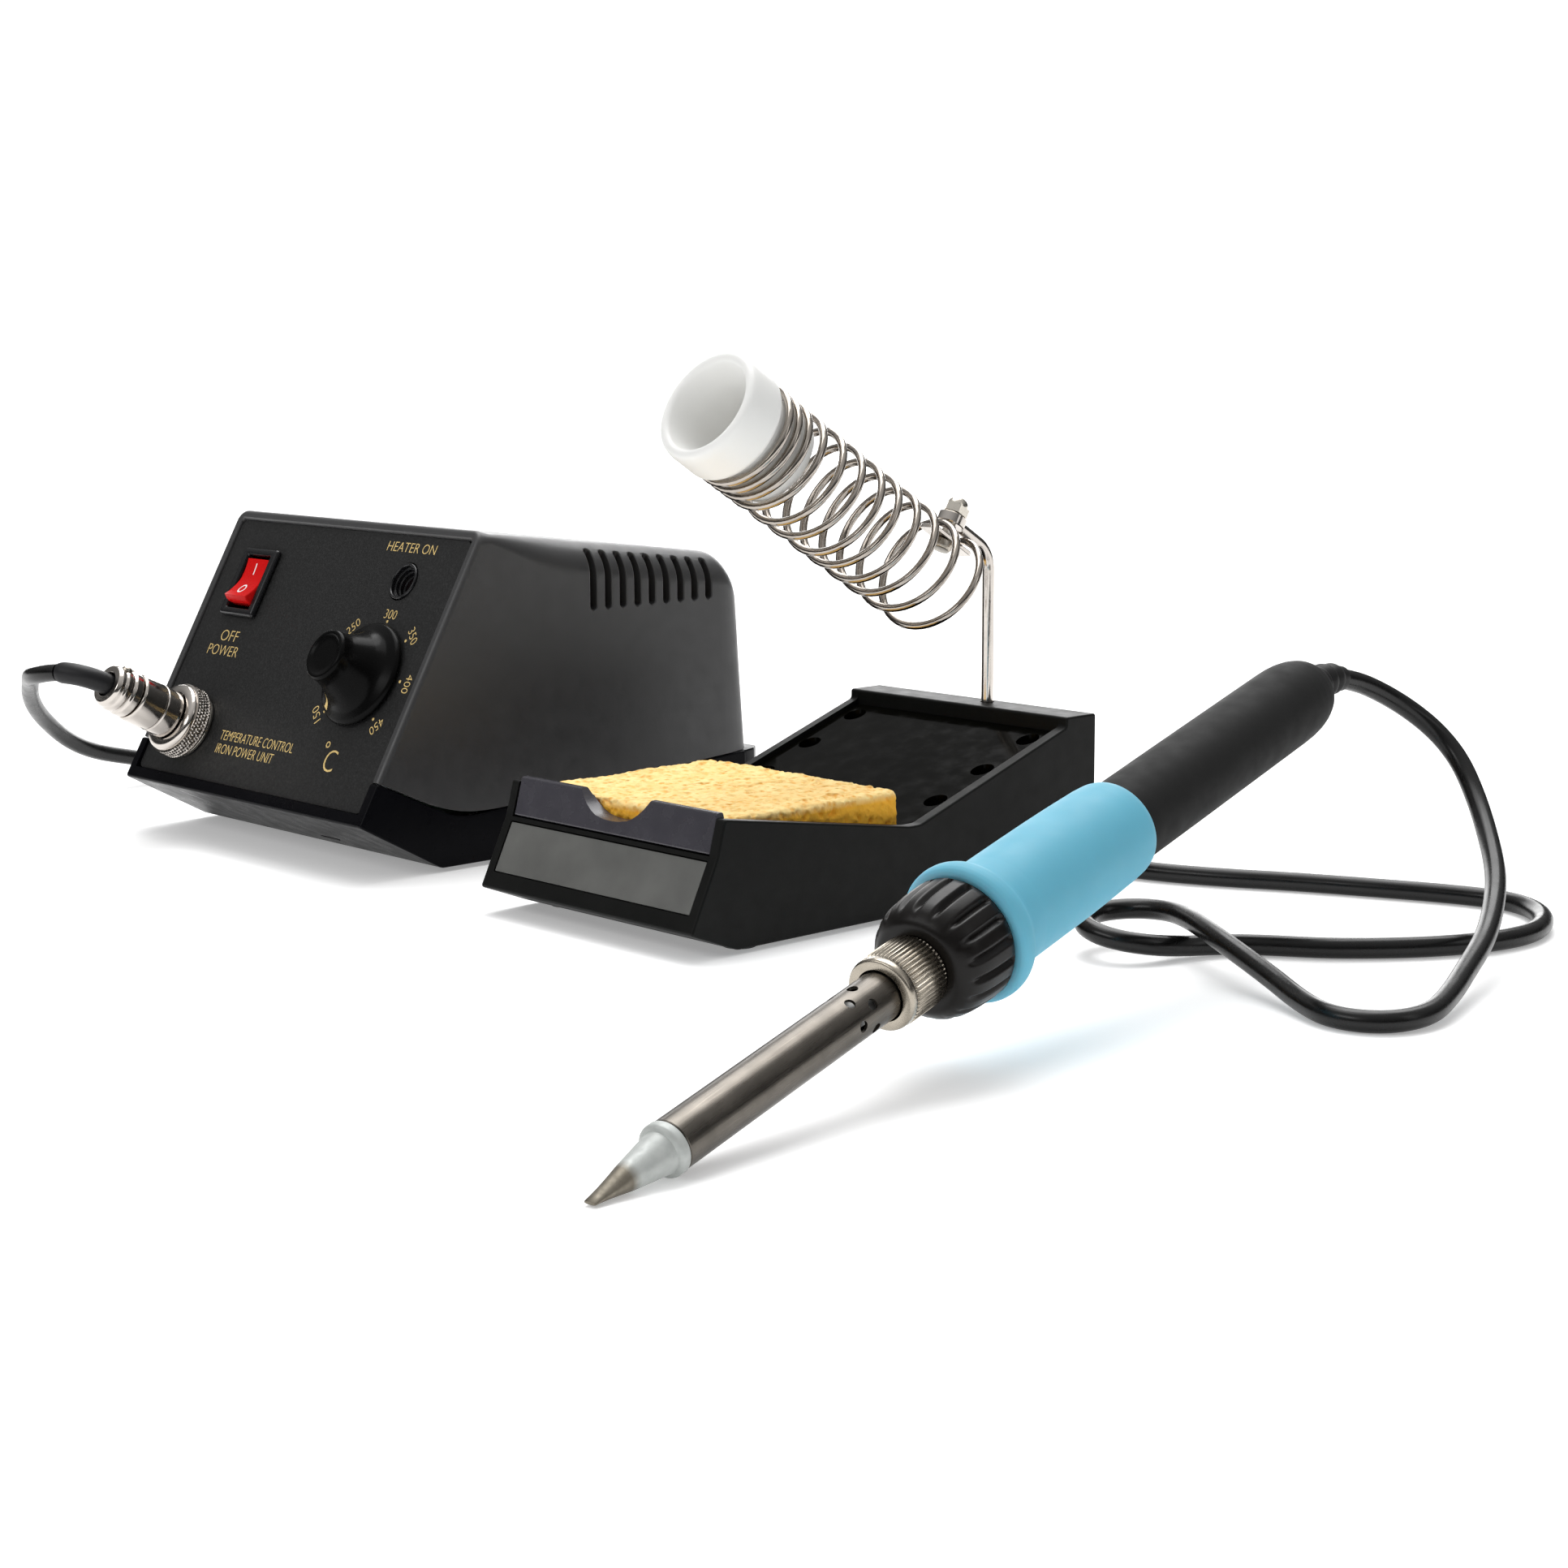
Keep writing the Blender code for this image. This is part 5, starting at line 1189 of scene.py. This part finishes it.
def build_holder():
    path = coil_path(44)
    radii = [WIRE_R] * len(path)
    radii[0] = radii[-1] = 0.8
    sweep("coil", path, radii, 18, spring_frame(), "coil", "holder", ["holder_spring"])
    collar = [(8.6, 92.0), (12.4, 92.0), (12.5, 107.2), (14.5, 107.7), (15.35, 109.0), (15.25, 117.4), (14.9, 118.9),
              (14.2, 119.55), (13.2, 119.65), (12.3, 119.0), (11.2, 115.6), (10.1, 111.6), (9.2, 106.0), (8.7, 99.0)]
    hollow("collar", collar, 96, spring_frame(), "ceramic", "holder", ["spring_collar"], r=0.6)
    strip = slab("strap", rounded(6.0, 17.0, 1.5, 6, 0.0, -0.8), 11.2, 12.3, 0.2, clamp_frame(), "chrome")
    cut(strip, prism("bore", circle(1.85, 32), 8.0, 16.0, clamp_frame(), None))
    hold(smooth_again(strip, 35.0), "holder", "clamp_strip")
    bolt = [(0, 8.5), (2.5, 8.5), (2.9, 9.2), (2.9, 10.9), (1.5, 10.9), (1.5, 21.6), (0, 21.6)]
    turned("bolt", soften(bolt, 0.2), 40, clamp_frame(), "steel", "holder", ["clamp_bolt"])
    nut = [(0, 24.0), (0.8, 23.93), (1.6, 23.65), (2.3, 23.15), (2.8, 22.4), (3.0, 21.6), (3.0, 21.2), (3.7, 21.2),
           (3.7, 19.0), (1.85, 19.0), (1.85, 22.0), (0, 22.0)]

    def six(r, z, a):
        off = (a + math.pi / 6) % (math.pi / 3) - math.pi / 6
        return min(3.7, 3.2 / math.cos(off)) if r > 3.3 else r

    turned("cap_nut", nut, 72, clamp_frame(), "nickel", "cap_nut", ["dome_nut"], six, 30.0)


# ---------------------------------------------------------------- iron
def build_iron():
    where = iron()
    rows = [(0.0, 1.25, 0.3), (0.25, 1.42, 0.5), (1.5, 1.5, 0.78), (4.0, 1.78, 1.3), (7.0, 2.2, 2.0), (9.4, 2.6, 2.6),
            (10.2, 2.75, 2.75), (13.0, 3.22, 3.22), (16.0, 3.72, 3.72), (18.4, 4.1, 4.1), (19.1, 4.25, 4.25),
            (19.3, 4.7, 4.7), (19.6, 5.15, 5.15), (20.0, 5.28, 5.28), (21.3, 5.3, 5.3), (21.6, 5.1, 5.1),
            (21.6, 4.1, 4.1), (28.0, 4.1, 4.1)]
    loops = [[(w * x, h * y, s) for x, y in circle(1.0, 64)] for s, w, h in rows]
    loft("chisel_tip", loops, where, "tip", "iron", ["iron_tip"], 40.0)
    tube = [(4.5, 21.9), (4.95, 21.9), (5.12, 22.05), (5.12, 102.9), (5.0, 103.0), (4.5, 103.0)]
    barrel = hollow("barrel", tube, 120, where, "barrel", r=0)
    drills = []
    for s, first in ((74.5, 0.0), (79.0, 30.0)):
        for k in range(6):
            at = where @ Matrix.Translation((0, 0, s * MM)) @ Matrix.Rotation(math.radians(first + 60 * k), 4, "Z")
            at = at @ Matrix.Rotation(math.pi / 2, 4, "Y")
            drills.append(prism("drill", circle(1.15, 28), 3.6, 9.0, at, None))
    cut(barrel, join("vent_drills", *drills))
    hold(smooth_again(barrel, 40.0), "iron", "iron_barrel")
    turned("heater_rod", soften([(0, 28.4), (2.8, 28.4), (2.8, 103.0), (0, 103.0)], 0.3), 40, where, "ceramic",
           "iron", ["heater_element"])

    def teeth(r, z, a):
        if r > 7.0 and 89.2 < z < 99.2:
            return r - 0.42 * abs(math.sin(a * 26.0)) ** 0.8
        return r

    nut = [(5.5, 86.9), (7.1, 86.9), (7.5, 87.2), (7.6, 87.6), (7.6, 88.9), (7.35, 89.15), (7.45, 89.3), (7.8, 89.7),
           (7.8, 98.7), (7.4, 99.1), (7.2, 99.5), (5.5, 99.5)]
    hollow("knurled_nut", nut, 416, where, "nut", "tip_nut", ["barrel_nut"], teeth, 50.0, r=0)

    def ribs(r, z, a):
        if r < 9.0 or z > 114.7:
            return r
        fade = min(1.0, max(0.0, (z - 101.4) / 2.6))
        wave = 0.5 + 0.5 * math.cos(a * 18.0)
        return r - fade * 0.95 * (1.0 - min(1.0, wave * 2.3) ** 0.6)

    cap = [(0, 103.6), (5.5, 103.6), (5.5, 99.8), (8.6, 99.8), (9.6, 99.95), (10.4, 100.6), (11.3, 101.4),
           (11.9, 102.3), (12.4, 103.4), (12.75, 104.6), (13.05, 106.4), (13.25, 108.6), (13.35, 111.0),
           (13.4, 113.0), (13.4, 114.4), (13.25, 114.75), (12.9, 115.2), (12.9, 115.4), (0, 115.4)]
    turned("fluted_cap", cap, 360, where, "cap", "iron", ["front_cap"], ribs, 60.0)
    grip = [(8.0, 115.8), (13.4, 115.8), (14.1, 115.95), (14.7, 116.4), (15.05, 117.2), (15.15, 118.2),
            (15.05, 119.3), (14.7, 120.3), (14.0, 121.1), (13.1, 121.7), (12.55, 122.6), (12.3, 123.8),
            (12.2, 125.4), (12.15, 127.2), (12.05, 129.0), (12.05, 140.0), (12.0, 152.0), (11.85, 161.0),
            (11.6, 170.0), (11.35, 173.4), (11.0, 174.8), (10.4, 175.2), (8.0, 175.2)]
    hollow("grip", grip, 96, where, "grip", "iron", ["grip_sleeve"], r=0.25)
    handle = [(0, 115.8), (7.7, 115.8), (7.7, 175.5), (9.2, 175.5), (9.6, 175.9), (9.75, 180.0), (9.8, 200.0),
              (9.8, 252.0), (9.72, 255.5), (9.45, 258.6), (8.95, 261.4), (8.15, 264.0), (7.0, 266.2), (5.9, 267.4),
              (4.8, 268.0), (0, 268.0)]
    turned("handle_body", soften(handle, 0.4), 96, where, "handle", "iron", ["handle"])
    start = Vector(TIP_AT) + iron_axis() * 268.3
    ends = [Vector(p) for p in ((330.5, 133.4, 62.3), (330.0, 137.4, 62.7), (329.8, 142.1, 62.1))]
    fine = walk(smooth_path([start, start + iron_axis() * 1.6, *ends]), 0.22)
    radii = []
    for i in range(len(fine)):
        f = i / (len(fine) - 1)
        wave = 0.5 - 0.5 * math.cos(2 * math.pi * (f * 3.6))
        radii.append(4.15 - 1.2 * f + 0.75 * (1 - 0.4 * f) * wave ** 0.6 * (1.0 if f < 0.86 else 0.2))
    radii[0] = 4.2
    sweep("cord_relief", [p - Vector(LAYOUT_ORIGIN) for p in fine], radii, 40, Matrix.Identity(4), "rubber", "iron",
          ["strain_relief"])


# ---------------------------------------------------------------- lead
def build_lead():
    run = smooth_path([Vector(p) / MM for p in CORD_ROUTE])
    sleeve = walk(run[: SLEEVE_STEPS + 1], 0.75)
    radii = [SLEEVE_R] * len(sleeve)
    radii[0] = 2.9
    radii[-1] = 2.75
    radii[-2] = 3.0
    sweep("lead_sleeve", sleeve, radii, 32, Matrix.Identity(4), "sleeve", "power_unit", ["cable_sleeve"])
    first = run[SLEEVE_STEPS].lerp(run[SLEEVE_STEPS + 1], 0.4)
    path = [first, *run[SLEEVE_STEPS + 1 :]]
    lead = sweep("iron_lead", path, [CORD_R] * len(path), 24, Matrix.Identity(4), "cord")
    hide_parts("iron_cord")
    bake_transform(lead)


# ---------------------------------------------------------------- studio
def lamp(name, at, size, power, aim=(0.0, 0.0, 0.03)):
    data = bpy.data.lights.new(name, "AREA")
    data.shape = "RECTANGLE"
    data.size, data.size_y = size
    data.energy = power
    obj = bpy.data.objects.new(name, data)
    bpy.context.scene.collection.objects.link(obj)
    obj.location = at
    obj.rotation_euler = (Vector(aim) - Vector(at)).to_track_quat("-Z", "Y").to_euler()
    obj.visible_camera = False


def build_world():
    """White to the camera; to everything else a bright overhead dome over a darker horizon."""
    world = bpy.data.worlds.new("studio")
    world.use_nodes = True
    bpy.context.scene.world = world
    tree = world.node_tree
    sky = tree.nodes["Background"]
    sky.inputs["Strength"].default_value = 1.0
    coords = tree.nodes.new("ShaderNodeTexCoord")
    split = tree.nodes.new("ShaderNodeSeparateXYZ")
    height = tree.nodes.new("ShaderNodeMapRange")
    height.inputs["From Min"].default_value = 0.22
    height.inputs["From Max"].default_value = 0.95
    height.inputs["To Min"].default_value = 0.05
    height.inputs["To Max"].default_value = 0.78
    path = tree.nodes.new("ShaderNodeLightPath")
    mix = tree.nodes.new("ShaderNodeMix")
    mix.inputs["B"].default_value = 1.1
    tree.links.new(coords.outputs["Generated"], split.inputs["Vector"])
    tree.links.new(split.outputs["Z"], height.inputs["Value"])
    tree.links.new(height.outputs["Result"], mix.inputs["A"])
    tree.links.new(path.outputs["Is Camera Ray"], mix.inputs["Factor"])
    tree.links.new(mix.outputs["Result"], sky.inputs["Color"])


def build_stage():
    scene = bpy.context.scene
    scene.view_settings.view_transform = "Standard"
    scene.view_settings.look = "None"
    mesh = bpy.data.meshes.new("floor")
    mesh.from_pydata([(-40, -40, 0), (40, -40, 0), (40, 40, 0), (-40, 40, 0)], [], [(0, 1, 2, 3)])
    floor = bpy.data.objects.new("floor", mesh)
    scene.collection.objects.link(floor)
    white = Shade("floor_white", (0.9, 0.9, 0.9), 0.9)
    white.shader.inputs["Specular IOR Level"].default_value = 0.0
    white.shader.inputs["Emission Color"].default_value = (1.0, 1.0, 1.0, 1.0)
    white.shader.inputs["Emission Strength"].default_value = 0.3
    mesh.materials.append(white.mat)
    build_world()
    sun = bpy.data.lights.new("soft_sun", "SUN")
    sun.energy = 1.9
    sun.angle = math.radians(44.0)
    obj = bpy.data.objects.new("soft_sun", sun)
    scene.collection.objects.link(obj)
    obj.rotation_euler = Vector((0.34, -0.46, -0.82)).to_track_quat("-Z", "Y").to_euler()
    lamp("overhead", (-0.2, 0.1, 1.3), (0.9, 0.7), 5.0)
    lamp("front", (-0.15, -1.3, 0.9), (1.2, 0.35), 5.0)
    lamp("right", (1.3, 0.45, 0.7), (0.35, 0.8), 1.0)
    lamp("rear", (-1.7, 1.5, 0.5), (1.9, 0.95), 20.0)


def main():
    make_materials()
    set_camera()
    build_stage()
    build_lead()
    build_cover()
    build_base()
    build_switch()
    build_lamp()
    build_knob()
    build_connector()
    build_rear()
    build_lettering()
    build_stand()
    build_tray()
    build_sponge()
    build_post()
    build_holder()
    build_iron()
    where = panel(*KNOB_AT)
    hexagon(3.9, 11.0, 0.3, 2.4, "pot_hex_nut", where, "nickel", "power_unit", "potentiometer_nut")
    for node, mat in (("front_panel", "panel"), ("potentiometer", "steel"), ("transformer_core", "steel"),
                      ("transformer_winding", "copper"), ("circuit_board", "board")):
        paint_node(node, mat)


main()
